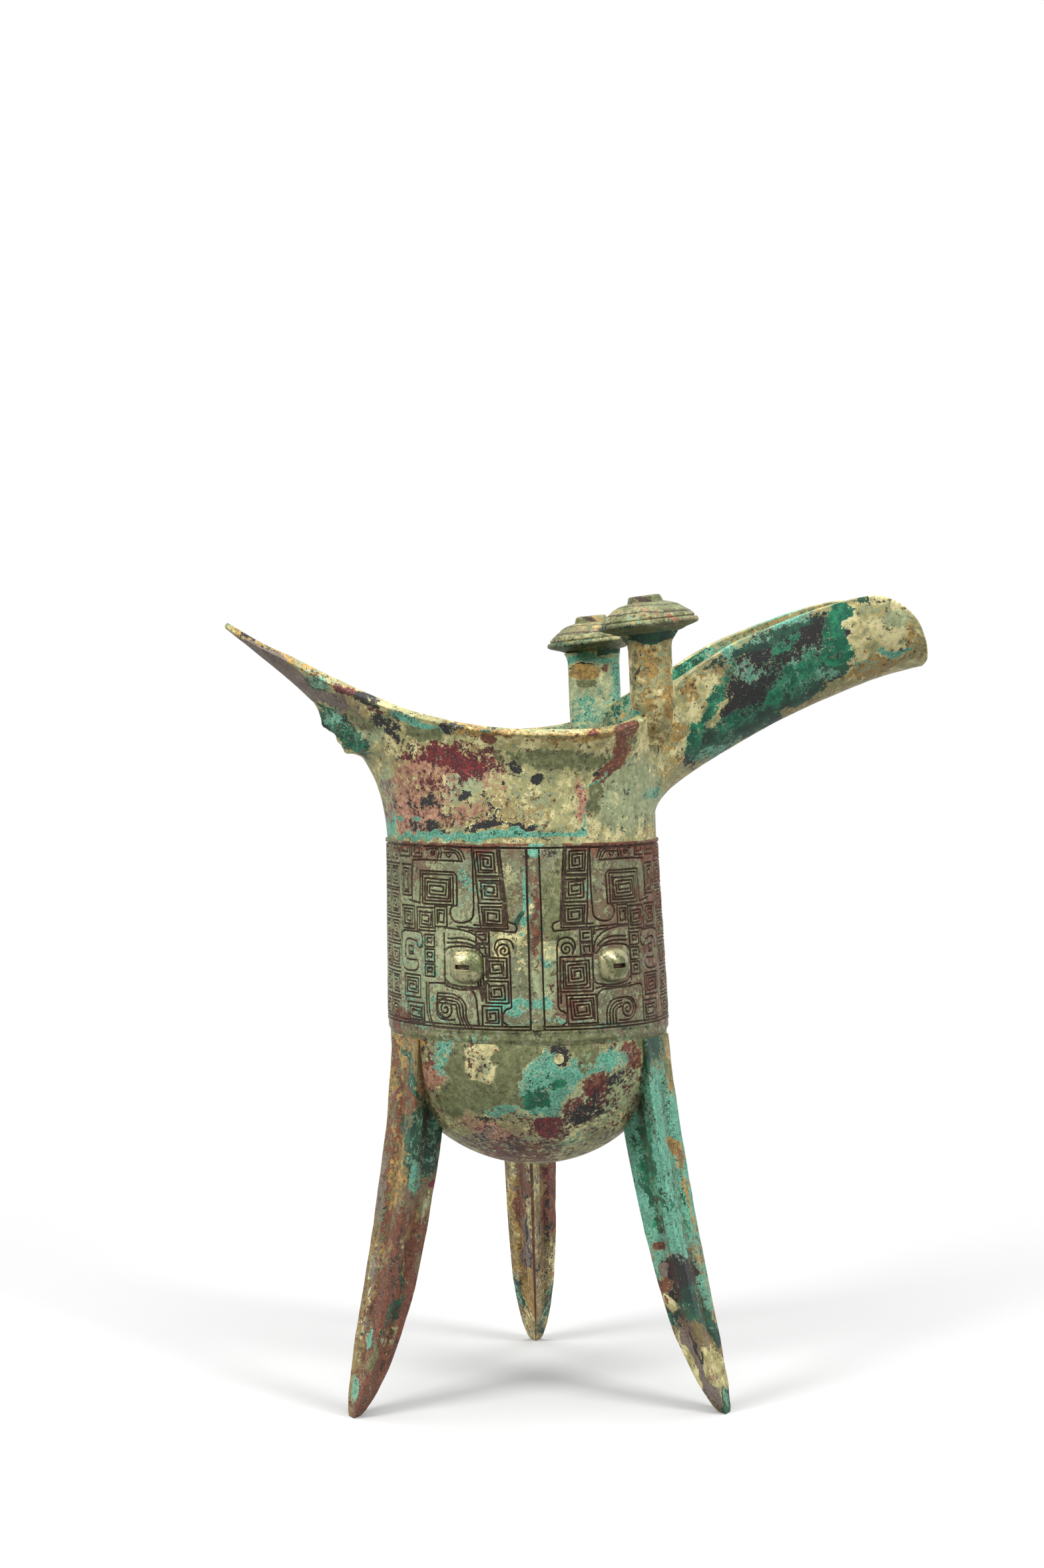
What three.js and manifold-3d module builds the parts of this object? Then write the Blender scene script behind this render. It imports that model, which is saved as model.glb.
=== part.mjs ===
// A bronze tripod wine vessel of the jue form, in millimetres, +Z up and +X along the spout.
// The origin is on the ground, under the middle of the box that holds the vessel.
import * as THREE from "three";
import { mergeVertices } from "three/addons/utils/BufferGeometryUtils.js";
import Module from "manifold-3d";

const wasm = await Module();
wasm.setup();

// Driving dimensions. Heights add up from the ground; radii are about the cup's own axis.
const SEAT_GAP = 0.3; // clearance where a curved face seats on its neighbour
const LEG_CLEAR = 58; // from the ground to the underside of the bowl
const BOWL_DEPTH = 34; // from there to the seam between bowl and ornament band
const BAND_TALL = 48.4; // from there to the seam between band and mouth
const BOWL_RADIUS = 35; // outer radius of the bowl's straight part
const BOWL_ROUND = 32; // height of the bowl's rounded end
const BAND_PROUD = 0.75; // how far the band's foot stands out from the bowl
const BAND_TAPER = 1.25; // how much narrower the band is at its top
const WALL = 3; // thickness of bowl and band
const LIP_WALL = 2.6; // thickness of mouth, spout and tail
const NECK_STEP = 0.3; // from the band's top in to the mouth's outer face
const LEAN_X = -0.0358; // the cup leans towards the tail by this share of its height
const LEAN_Y = 0.0073; // and a little towards the handle

const BAND_BOTTOM = LEG_CLEAR + BOWL_DEPTH;
const BAND_TOP = BAND_BOTTOM + BAND_TALL;
const BAND_RADIUS_LOW = BOWL_RADIUS + BAND_PROUD;
const BAND_RADIUS_HIGH = BAND_RADIUS_LOW - BAND_TAPER;
const NECK_RADIUS = BAND_RADIUS_HIGH - NECK_STEP;

// Legs are three-sided blades that end in small flat feet.
// Each has its azimuth and the extra reach of its foot.
const LEGS = {
  leg_tail_side: { azimuth: -162.8, splay: 1.3 },
  leg_spout_side: { azimuth: -37.2, splay: -1.5 },
  leg_handle_side: { azimuth: 80, splay: 0 },
};
const LEG_TOP = BAND_BOTTOM - SEAT_GAP;
const LEG_GROOVE_DEPTH = 0.7;
const LEG_GROOVE_FROM = 9; // height at which the grooves begin
const LEG_GROOVE_SHORT = 7.7; // how far below the leg's top they end
const SPLAY_SHARE = 0.785; // above this share of the height all legs run alike
// Share of the leg's height, distance of the section's middle out from the bowl's side, and side
// of the triangle.
const LEG_LINE = [
  [0, 16.2, 3],
  [0.013, 15.6, 4.6],
  [0.055, 14, 7.3],
  [0.109, 12.1, 9.4],
  [0.196, 9.6, 11.8],
  [0.273, 7.6, 12.8],
  [0.338, 6.1, 13.5],
  [0.48, 3, 14.4],
  [0.622, 0.6, 14.8],
  [0.763, -1.7, 15],
  [0.916, -3.3, 15],
  [1, -3.9, 15],
];

// Ornament on the band.
const MASK_AZIMUTH = -98.5; // the front mask's ridge, opposite the handle
const EYE_HEIGHT = BAND_BOTTOM + 18.7;
const EYE_MIDDLE = -95.2; // halfway between the front eyes, a little off the ridge
const EYE_ANGLE = 30.7; // from there to each eye
const EYE_WIDTH = 8.6;
const EYE_TALL = 8;
const EYE_PROUD = 2.5;
const SLIT_LENGTH = 3.4; // the pupil's slot across each eye
const SLIT_TALL = 0.9;
const SLIT_DEEP = 0.9;
const RIDGE_WIDTH = 3;
const RIDGE_PROUD = 1.1;
const RIDGE_MARGIN = 1.6; // from the ridge's ends to the band's edges
const BEAD_HEIGHT = 1.2;
const BEAD_PROUD = 0.5;

// Cast-in bronze spacers, which held the core away from the mould.
const SPACER_RADIUS = 1.25;
const SPACER_HEIGHT = BAND_BOTTOM - 3.4;
const SPACER_AZIMUTHS = { spacer_front: -90, spacer_spout_side: 18, spacer_tail_side: 150 };

// Posts stand on the rim at the root of the spout, each under a cap.
const POST_OUT = 26.4; // distance of each post from the vessel's middle plane
const POST_FOOT = 24.6; // height of the foot above the band
const POST_ROOT = 9; // height over which the foot swells to the full section
const POST_NARROW = 8.2; // width towards the outside
const POST_DEEP = 8.4;
// Side of the middle plane, place along the spout, width towards the mouth, height of the top
// above the band, and how far the cap sits off the post's middle.
const POSTS = {
  front: { side: -1, x: 28.6, wide: 10.3, top: 51.2, capShift: 0 },
  rear: { side: 1, x: 26.1, wide: 14.4, top: 48.6, capShift: 1.2 },
};
const COLLAR_RADIUS = 7.9;
const COLLAR_HEIGHT = 2.5;
const CAP_RADIUS = 12.4;
const CAP_HEIGHT = 9.3;
const BRIM_LOW = 1.7; // height of the brim's lower edge above the cap's foot
const KNOB_RADIUS = 4.1;
const KNOB_HEIGHT = 1.8;
const CAP_TILT = 6.5; // degrees, down towards the tail

// Handle opposite the front mask, with an ox head on its shoulder.
const HANDLE_AZIMUTH = 81;
const HANDLE_WIDTH = 12;
const HANDLE_THICK = 4.4;
// Distance out from the bowl's side and height above the band's foot, along the strap's middle.
const HANDLE_LINE = [
  [-3, 45],
  [5, 47.5],
  [14, 46],
  [20.5, 39],
  [22.5, 28],
  [20.5, 17],
  [14, 9],
  [6, 5.5],
  [-3, 5],
];
const HEAD_WIDTH = 14;
const HEAD_LENGTH = 13;
const HEAD_DEEP = 8;
const HORN_RADIUS = 1.7;
const HORN_SPREAD = 6.4;

// Rim stations along one side, from the tail's tip to the spout's lip. Each holds the rim point
// (along the spout, half width, height above the band), the angle from the tail at which its line
// leaves the neck, the rise of that line's first handle, and its second handle as another such
// point. Places in plan are written for a neck of one radius and scale with the neck that is set.
// The neck is straight below that line, highest under the spout and not at all under the tail.
const RIM_NECK = 34.2; // the neck radius for which these places are written
const RIM = [
  { at: [-73.6, 0, 53], turn: 0, rise: 20.6, near: [-45, 0, 29.2] },
  { at: [-67, 3.2, 48.6], turn: 3, rise: 20.4, near: [-44, 2, 29] },
  { at: [-60, 6.2, 44.9], turn: 7, rise: 20, near: [-42.5, 4.4, 28.6] },
  { at: [-50, 11, 39.3], turn: 14, rise: 18, near: [-39.5, 9, 27.2] },
  { at: [-40, 17, 34.4], turn: 25, rise: 15.8, near: [-35.5, 14, 24.8] },
  { at: [-30, 24, 30.6], turn: 38, rise: 13.6, near: [-29, 20.5, 22.1] },
  { at: [-20, 31, 28], turn: 54, rise: 11.3, near: [-20, 26, 19.6] },
  { at: [-10, 36, 26.7], turn: 71, rise: 9.7, near: [-10, 30.4, 18.1] },
  { at: [0, 38.5, 26.2], turn: 88, rise: 8.1, near: [0, 32.2, 17.6] },
  { at: [10, 38, 26.4], turn: 105, rise: 7.3, near: [9.5, 32, 17.6] },
  { at: [20, 34.3, 27.8], turn: 121, rise: 6.4, near: [18.5, 29, 18.6] },
  { at: [27, 29, 30.6], turn: 134, rise: 5.6, near: [25.5, 25, 21.1] },
  { at: [32.5, 21.5, 34.4], turn: 144, rise: 5, near: [30.5, 19, 23.6] },
  { at: [37.5, 16, 38.4], turn: 150, rise: 4.6, near: [34.5, 15.4, 26.6] },
  { at: [43.5, 14.4, 43], turn: 153.5, rise: 5.2, near: [39, 14.6, 29.6] },
  { at: [54, 14, 49.4], turn: 157, rise: 6, near: [47, 14.2, 35.6] },
  { at: [66, 14, 54.4], turn: 160.5, rise: 6.7, near: [55, 14.2, 39.6] },
  { at: [79, 13.8, 59], turn: 163.5, rise: 6.9, near: [63, 14.2, 43.6] },
  { at: [91, 13.5, 61.8], turn: 166, rise: 6.6, near: [71, 14.2, 47.1] },
  { at: [98, 13.2, 60.4], turn: 168.5, rise: 6.2, near: [76, 13.9, 47.1] },
  { at: [103.8, 12, 56.2], turn: 171.3, rise: 6, near: [78.5, 12.4, 44.2] },
  { at: [107.2, 9.4, 50.6], turn: 174.2, rise: 5.4, near: [79, 9.6, 41.2] },
  { at: [109, 5.2, 46.1], turn: 177.2, rise: 4.5, near: [78.6, 5.2, 38.8] },
  { at: [109.6, 0, 44.3], turn: 180, rise: 3.6, near: [78, 0, 38] },
];
const TAIL_CUT = -42; // seam between mouth and tail
const SPOUT_CUT = 40; // seam between mouth and spout
const PLAN = NECK_RADIUS / RIM_NECK;
const RIM_STEPS = 2; // grid columns for each pair of stations
const RIM_ROWS = 11; // grid rows from neck to rim
const NECK_SHARE = 1 / RIM_ROWS; // share of the rows that the neck's straight part takes
const NECK_FLARE = 1; // how far the first handle stands out from the neck
const NECK_STRAIGHT = 8; // height of the neck's straight part under the spout
const TIP_THIN = 0.55; // share of the lip's thickness that is left at the tail's tip
const TIP_LENGTH = 26; // length over which the tail reaches its full thickness

const ROUND = 56; // segments round the cup
const radians = (degrees) => (degrees * Math.PI) / 180;

// Solids and geometries

function solidOf(geometry) {
  const bare = new THREE.BufferGeometry();
  bare.setAttribute("position", geometry.getAttribute("position"));
  bare.setIndex(geometry.index);
  const merged = mergeVertices(bare, 1e-3);
  const mesh = new wasm.Mesh({
    numProp: 3,
    vertProperties: merged.attributes.position.array,
    triVerts: new Uint32Array(merged.index.array),
  });
  return new wasm.Manifold(mesh);
}

function geometryOf(solid) {
  const mesh = solid.getMesh();
  const position = new Float32Array(mesh.numVert * 3);
  for (let i = 0; i < mesh.numVert; i++) {
    const start = i * mesh.numProp;
    position.set(mesh.vertProperties.subarray(start, start + 3), i * 3);
  }
  const geometry = new THREE.BufferGeometry();
  geometry.setAttribute("position", new THREE.BufferAttribute(position, 3));
  geometry.setIndex(new THREE.BufferAttribute(mesh.triVerts, 1));
  return geometry;
}

// Turns a profile of [radius, height] pairs about the vertical axis.
function turned(profile, segments = ROUND) {
  const points = profile.map(([r, z]) => new THREE.Vector2(r, z));
  const lathe = new THREE.LatheGeometry(points, segments);
  lathe.rotateX(Math.PI / 2);
  return lathe;
}

// Joins rings of equal length into a closed skin with a fan at each end.
function lofted(rings) {
  const count = rings[0].length;
  const position = rings.flat().flatMap((p) => [p.x, p.y, p.z]);
  const index = [];
  for (let k = 0; k + 1 < rings.length; k++) {
    for (let i = 0; i < count; i++) {
      const j = (i + 1) % count;
      const a = k * count + i;
      const b = k * count + j;
      index.push(a, b, b + count, a, b + count, a + count);
    }
  }
  for (const [ring, flip] of [[0, true], [rings.length - 1, false]]) {
    const middle = new THREE.Vector3();
    rings[ring].forEach((p) => middle.add(p));
    middle.divideScalar(count);
    const hub = position.length / 3;
    position.push(middle.x, middle.y, middle.z);
    for (let i = 0; i < count; i++) {
      const a = ring * count + i;
      const b = ring * count + ((i + 1) % count);
      if (flip) index.push(b, a, hub);
      else index.push(a, b, hub);
    }
  }
  const geometry = new THREE.BufferGeometry();
  geometry.setAttribute("position", new THREE.Float32BufferAttribute(position, 3));
  geometry.setIndex(index);
  return geometry;
}

// A smooth value through a list, at a position counted in list entries.
function smoothAt(values, position) {
  const last = values.length - 1;
  const i = Math.min(Math.floor(position), last - 1);
  const t = position - i;
  const a = values[Math.max(i - 1, 0)];
  const b = values[i];
  const c = values[i + 1];
  const d = values[Math.min(i + 2, last)];
  const slopeIn = (c - a) / 2;
  const slopeOut = (d - b) / 2;
  const t2 = t * t;
  const t3 = t2 * t;
  const held = (2 * t3 - 3 * t2 + 1) * b + (t3 - 2 * t2 + t) * slopeIn;
  return held + (3 * t2 - 2 * t3) * c + (t3 - t2) * slopeOut;
}

// A value through rows whose first entry is the place along the line.
function lineAt(rows, place, column) {
  const i = Math.max(rows.findIndex((row) => row[0] >= place), 1);
  const t = (place - rows[i - 1][0]) / (rows[i][0] - rows[i - 1][0]);
  return rows[i - 1][column] + t * (rows[i][column] - rows[i - 1][column]);
}

// Moves a solid made about the X axis out to its azimuth on the cup.
function atAzimuth(geometry, azimuth) {
  return geometry.rotateZ(radians(azimuth));
}

// Bowl and band

function bowlOutline(grow) {
  const steps = 14;
  const points = [[0, LEG_CLEAR - grow]];
  for (let i = 1; i <= steps; i++) {
    const angle = (i / steps) * (Math.PI / 2);
    const height = LEG_CLEAR + BOWL_ROUND - (BOWL_ROUND + grow) * Math.cos(angle);
    points.push([(BOWL_RADIUS + grow) * Math.sin(angle), height]);
  }
  return points;
}

function bowl() {
  const outside = [...bowlOutline(0), [BOWL_RADIUS, BAND_BOTTOM]];
  const inside = [...bowlOutline(-WALL), [BOWL_RADIUS - WALL, BAND_BOTTOM]].reverse();
  let solid = solidOf(turned([...outside, ...inside]));
  for (const azimuth of Object.values(SPACER_AZIMUTHS)) {
    solid = solid.subtract(solidOf(spacerPlug(SPACER_RADIUS + SEAT_GAP, WALL * 3, azimuth)));
  }
  return geometryOf(solid);
}

function bandRadius(z) {
  const share = (z - BAND_BOTTOM) / (BAND_TOP - BAND_BOTTOM);
  return BAND_RADIUS_LOW + share * (BAND_RADIUS_HIGH - BAND_RADIUS_LOW);
}

function bandOutline(grow) {
  const beadLow = BAND_TOP - BEAD_HEIGHT;
  return [
    [BAND_RADIUS_LOW + grow, BAND_BOTTOM],
    [bandRadius(beadLow) + grow, beadLow],
    [bandRadius(beadLow) + BEAD_PROUD + grow, beadLow + BEAD_HEIGHT / 3],
    [bandRadius(BAND_TOP) + BEAD_PROUD + grow, BAND_TOP - BEAD_HEIGHT / 3],
    [bandRadius(BAND_TOP) + grow, BAND_TOP],
  ];
}

function band() {
  const inner = BOWL_RADIUS - WALL;
  const innerTop = NECK_RADIUS - LIP_WALL;
  const profile = [[inner, BAND_BOTTOM], ...bandOutline(0), [innerTop, BAND_TOP]];
  return turned([...profile, profile[0]]);
}

// The body's outside, grown by the seat gap, for cutting what stands against it.
function bodyCutter(grow) {
  const profile = [
    ...bowlOutline(grow),
    [BOWL_RADIUS + grow, BAND_BOTTOM],
    ...bandOutline(grow),
    [NECK_RADIUS + grow, BAND_TOP + 4],
    [0, BAND_TOP + 4],
  ];
  return solidOf(turned(profile));
}

function spacerPlug(radius, length, azimuth) {
  const plug = new THREE.CylinderGeometry(radius, radius, length, 20);
  plug.rotateZ(Math.PI / 2);
  plug.translate(BOWL_RADIUS - WALL / 2, 0, SPACER_HEIGHT);
  return atAzimuth(plug, azimuth);
}

// Mouth, spout and tail

// The outer skin at a position along the rim stations and a share of the way up from the neck.
function skinAt(position, side, share) {
  const pick = (read) => smoothAt(RIM.map(read), position);
  const turn = radians(pick((s) => s.turn));
  const out = new THREE.Vector3(-Math.cos(turn), side * Math.sin(turn), 0);
  const straight = NECK_STRAIGHT * (turn / Math.PI) ** 2;
  const foot = out.clone().multiplyScalar(NECK_RADIUS);
  foot.z = BAND_TOP + straight * Math.min(share / NECK_SHARE, 1);
  if (share <= NECK_SHARE) return foot;
  const first = out.clone().multiplyScalar(NECK_RADIUS + NECK_FLARE);
  first.z = foot.z + pick((s) => s.rise);
  const read = (key) => {
    const plan = [pick((s) => s[key][0]), side * pick((s) => s[key][1])].map((v) => v * PLAN);
    return new THREE.Vector3(...plan, BAND_TOP + pick((s) => s[key][2]));
  };
  const curve = new THREE.CubicBezierCurve3(foot, first, read("near"), read("at"));
  return curve.getPoint((share - NECK_SHARE) / (1 - NECK_SHARE));
}

// The closed sheet of mouth, spout and tail together, thicker on both faces by grow.
function lipSheet(grow) {
  const half = (RIM.length - 1) * RIM_STEPS;
  const columns = [];
  for (let i = 0; i < half; i++) columns.push([i / RIM_STEPS, -1]);
  for (let i = half; i > 0; i--) columns.push([i / RIM_STEPS, 1]);
  const count = columns.length;
  const outer = [];
  for (let k = 0; k <= RIM_ROWS; k++) {
    outer.push(columns.map(([position, side]) => skinAt(position, side, k / RIM_ROWS)));
  }
  const normalAt = (k, i) => {
    const along = outer[k][(i + 1) % count].clone().sub(outer[k][(i + count - 1) % count]);
    const up = outer[Math.min(k + 1, RIM_ROWS)][i].clone().sub(outer[Math.max(k - 1, 0)][i]);
    const normal = along.cross(up);
    if (k === 0) normal.z = 0;
    return normal.normalize();
  };
  const thickness = (position) => {
    const fromTip = smoothAt(RIM.map((s) => s.at[0]), position) - RIM[0].at[0];
    return LIP_WALL * Math.min(1, TIP_THIN + ((1 - TIP_THIN) * fromTip) / TIP_LENGTH);
  };
  const skin = (depth) =>
    outer.map((row, k) =>
      row.map((p, i) => p.clone().addScaledVector(normalAt(k, i), -depth(columns[i][0]))),
    );
  const outside = skin(() => -grow);
  const inside = skin((position) => thickness(position) + grow);
  const rings = [...outside, ...inside.reverse()];
  const position = rings.flat().flatMap((p) => [p.x, p.y, p.z]);
  const index = [];
  for (let k = 0; k < rings.length; k++) {
    const next = (k + 1) % rings.length;
    for (let i = 0; i < count; i++) {
      const j = (i + 1) % count;
      const a = k * count + i;
      const b = k * count + j;
      const c = next * count + j;
      const d = next * count + i;
      index.push(a, b, c, a, c, d);
    }
  }
  const geometry = new THREE.BufferGeometry();
  geometry.setAttribute("position", new THREE.Float32BufferAttribute(position, 3));
  geometry.setIndex(index);
  return solidOf(geometry);
}

// A block that spans the whole vessel between two places along the spout.
function slab(from, to) {
  const wide = 400;
  const block = new THREE.BoxGeometry(to - from, wide, wide);
  block.translate((from + to) / 2, 0, BAND_TOP);
  return solidOf(block);
}

// Legs

// One horizontal section of a leg, with a shallow groove along each face.
function legRing(z, reach, side, groove) {
  const points = [];
  const corner = side / Math.sqrt(3);
  const blunt = 0.06;
  for (let k = 0; k < 3; k++) {
    const from = Math.PI + (k * 2 * Math.PI) / 3;
    const to = from + (2 * Math.PI) / 3;
    const start = new THREE.Vector2(corner * Math.cos(from), corner * Math.sin(from));
    const end = new THREE.Vector2(corner * Math.cos(to), corner * Math.sin(to));
    const inward = start.clone().add(end).normalize().multiplyScalar(-groove);
    for (const [share, deep] of [[blunt, 0], [0.34, 0], [0.4, 1], [0.6, 1], [0.66, 0], [1 - blunt, 0]]) {
      const p = start.clone().lerp(end, share).addScaledVector(inward, deep);
      points.push(new THREE.Vector3(reach + p.x, p.y, z));
    }
  }
  return points;
}

// How far a leg's grooves are open at a height, from none to full.
function grooveOpen(z) {
  const below = (z - LEG_GROOVE_FROM) / 12;
  const above = (LEG_TOP - LEG_GROOVE_SHORT - z) / 6;
  return Math.max(Math.min(below, above, 1), 0);
}

function leg({ azimuth, splay }, cutter) {
  const between = 0.05;
  const shares = LEG_LINE.flatMap(([share], i) => (i > 1 ? [share - between / 2, share] : [share]));
  const rings = shares.map((share) => {
    const z = share * LEG_TOP;
    const groove = LEG_GROOVE_DEPTH * grooveOpen(z);
    const fade = Math.max(1 - share / SPLAY_SHARE, 0);
    const reach = BOWL_RADIUS + lineAt(LEG_LINE, share, 1) + splay * fade;
    return legRing(z, reach, lineAt(LEG_LINE, share, 2), groove);
  });
  const blade = solidOf(atAzimuth(lofted(rings), azimuth));
  return geometryOf(largest(blade.subtract(cutter)));
}

// The piece with the greatest volume of a cut solid.
function largest(solid) {
  return solid.decompose().reduce((a, b) => (b.volume() > a.volume() ? b : a));
}

// Ornament pieces on the band

// A dome with a rounded-square outline, standing on a plane that faces +X.
function eyeDome() {
  const rings = [];
  const steps = 6;
  for (let k = 0; k <= steps; k++) {
    const angle = (k / steps) * (Math.PI / 2) * 0.93;
    const size = Math.cos(angle);
    const proud = EYE_PROUD * Math.sin(angle);
    rings.push(superellipse(EYE_WIDTH * size, EYE_TALL * size, proud));
  }
  const base = superellipse(EYE_WIDTH, EYE_TALL, -WALL / 2);
  return lofted([base, ...rings]);
}

function superellipse(width, tall, x) {
  const points = [];
  const corners = 28;
  const power = 0.62;
  for (let i = 0; i < corners; i++) {
    const angle = (i / corners) * 2 * Math.PI;
    const c = Math.cos(angle);
    const s = Math.sin(angle);
    const y = (width / 2) * Math.sign(c) * Math.abs(c) ** power;
    const z = (tall / 2) * Math.sign(s) * Math.abs(s) ** power;
    points.push(new THREE.Vector3(x, y, z));
  }
  return points;
}

function eye(azimuth, cutter) {
  const sink = Math.cos(Math.asin(EYE_WIDTH / 2 / bandRadius(EYE_HEIGHT)));
  const base = bandRadius(EYE_HEIGHT) * sink + SEAT_GAP;
  const dome = eyeDome();
  dome.translate(base, 0, EYE_HEIGHT);
  const slit = new THREE.BoxGeometry(2 * SLIT_DEEP, SLIT_LENGTH, SLIT_TALL);
  slit.translate(base + EYE_PROUD, 0, EYE_HEIGHT);
  const cut = cutter.add(solidOf(atAzimuth(slit, azimuth)));
  return geometryOf(largest(solidOf(atAzimuth(dome, azimuth)).subtract(cut)));
}

function ridge(azimuth, cutter) {
  const low = BAND_BOTTOM + RIDGE_MARGIN;
  const high = BAND_TOP - BEAD_HEIGHT - RIDGE_MARGIN;
  const shape = [[-1, 0], [-0.42, 0.85], [-0.3, 1], [0.3, 1], [0.42, 0.85], [1, 0], [1, -1.4], [-1, -1.4]];
  const rings = [low, high].map((z) =>
    shape.map(([across, out]) => {
      const x = bandRadius(z) + out * RIDGE_PROUD;
      return new THREE.Vector3(x, (across * RIDGE_WIDTH) / 2, z);
    }),
  );
  return geometryOf(largest(solidOf(atAzimuth(lofted(rings), azimuth)).subtract(cutter)));
}

// Posts and caps

// A post's section, wide towards the mouth and narrow outside, easing into a round collar.
// A depth below one draws in its outer side and leaves the inner face where it is.
function postRing(z, round, { side, wide }, deep = 1) {
  const points = [];
  const outline = [
    [-wide / 2, 0.5], [-wide / 2 + 1.2, 1], [0, 1.06], [wide / 2 - 1.2, 1],
    [wide / 2, 0.5], [POST_NARROW / 2 + 0.9, -0.6], [POST_NARROW / 2 - 0.8, -1],
    [0, -1.05], [-POST_NARROW / 2 + 0.8, -1], [-POST_NARROW / 2 - 0.9, -0.6],
  ];
  outline.forEach(([across, inward]) => {
    const flat = new THREE.Vector2(across, (inward * POST_DEEP) / 2);
    const disc = flat.clone().normalize().multiplyScalar(COLLAR_RADIUS);
    const p = flat.lerp(disc, round);
    const shift = ((1 - deep) * POST_DEEP) / 2;
    points.push(new THREE.Vector3(p.x, -side * (p.y * deep + shift), z));
  });
  return side < 0 ? points.reverse() : points;
}

// The flat on which a cap sits, tilted about its own middle.
function capFrame({ side, x, top, capShift }) {
  const frame = new THREE.Matrix4().makeRotationY(radians(-CAP_TILT));
  frame.setPosition(x * PLAN + capShift, side * POST_OUT * PLAN, BAND_TOP + top);
  return frame;
}

function post(sizes, lip) {
  const { side, x, top } = sizes;
  const rings = [
    postRing(POST_FOOT, 0, sizes, 0.3),
    postRing(POST_FOOT + POST_ROOT / 2, 0, sizes, 0.75),
    postRing(POST_FOOT + POST_ROOT, 0, sizes),
    postRing(top - COLLAR_HEIGHT - 1.5, 0, sizes),
    postRing(top - COLLAR_HEIGHT, 0.1, sizes),
    postRing(top - COLLAR_HEIGHT / 2, 0.45, sizes),
    postRing(top + 2, 1, sizes),
  ];
  const shaft = lofted(rings);
  shaft.translate(x * PLAN, side * POST_OUT * PLAN, BAND_TOP);
  const above = new THREE.BoxGeometry(60, 60, 30);
  above.translate(0, 0, 15 - SEAT_GAP);
  above.applyMatrix4(capFrame(sizes));
  return geometryOf(largest(solidOf(shaft).subtract(solidOf(above)).subtract(lip)));
}

function cap(sizes) {
  const knobFoot = CAP_HEIGHT - KNOB_HEIGHT;
  const profile = [
    [0, 0], [COLLAR_RADIUS, 0], [CAP_RADIUS * 0.9, BRIM_LOW * 0.75], [CAP_RADIUS * 0.98, BRIM_LOW],
    [CAP_RADIUS, BRIM_LOW + 0.5], [CAP_RADIUS * 0.97, BRIM_LOW + 1.3],
    [CAP_RADIUS * 0.86, knobFoot * 0.65], [CAP_RADIUS * 0.82, knobFoot * 0.66],
    [CAP_RADIUS * 0.62, knobFoot * 0.9], [CAP_RADIUS * 0.58, knobFoot * 0.9],
    [KNOB_RADIUS + 0.3, knobFoot], [KNOB_RADIUS, CAP_HEIGHT - 0.5],
    [KNOB_RADIUS - 0.5, CAP_HEIGHT], [0, CAP_HEIGHT],
  ];
  return turned(profile, 40).applyMatrix4(capFrame(sizes));
}

// Handle

// The strap's middle at a position along its line, with its outward normal in that plane.
function strapAt(position) {
  const at = (p) => new THREE.Vector2(
    BOWL_RADIUS + smoothAt(HANDLE_LINE.map((row) => row[0]), p),
    BAND_BOTTOM + smoothAt(HANDLE_LINE.map((row) => row[1]), p),
  );
  const small = 0.01;
  const end = HANDLE_LINE.length - 1;
  const along = at(Math.min(position + small, end)).sub(at(Math.max(position - small, 0))).normalize();
  return { middle: at(position), normal: new THREE.Vector2(-along.y, along.x) };
}

function strap(grow) {
  const across = HANDLE_WIDTH / 2 + grow;
  const deep = HANDLE_THICK / 2 + grow;
  const shape = [
    [-1, 0.3], [-0.8, 0.75], [-0.35, 1], [0.35, 1], [0.8, 0.75], [1, 0.3],
    [1, -0.6], [0.9, -1], [-0.9, -1], [-1, -0.6],
  ];
  const rings = [];
  const steps = (HANDLE_LINE.length - 1) * 3;
  for (let k = 0; k <= steps; k++) {
    const { middle, normal } = strapAt(k / 3);
    rings.push(shape.map(([a, d]) => {
      const p = middle.clone().addScaledVector(normal, d * deep);
      return new THREE.Vector3(p.x, -a * across, p.y);
    }));
  }
  return solidOf(atAzimuth(lofted(rings), HANDLE_AZIMUTH));
}

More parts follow.
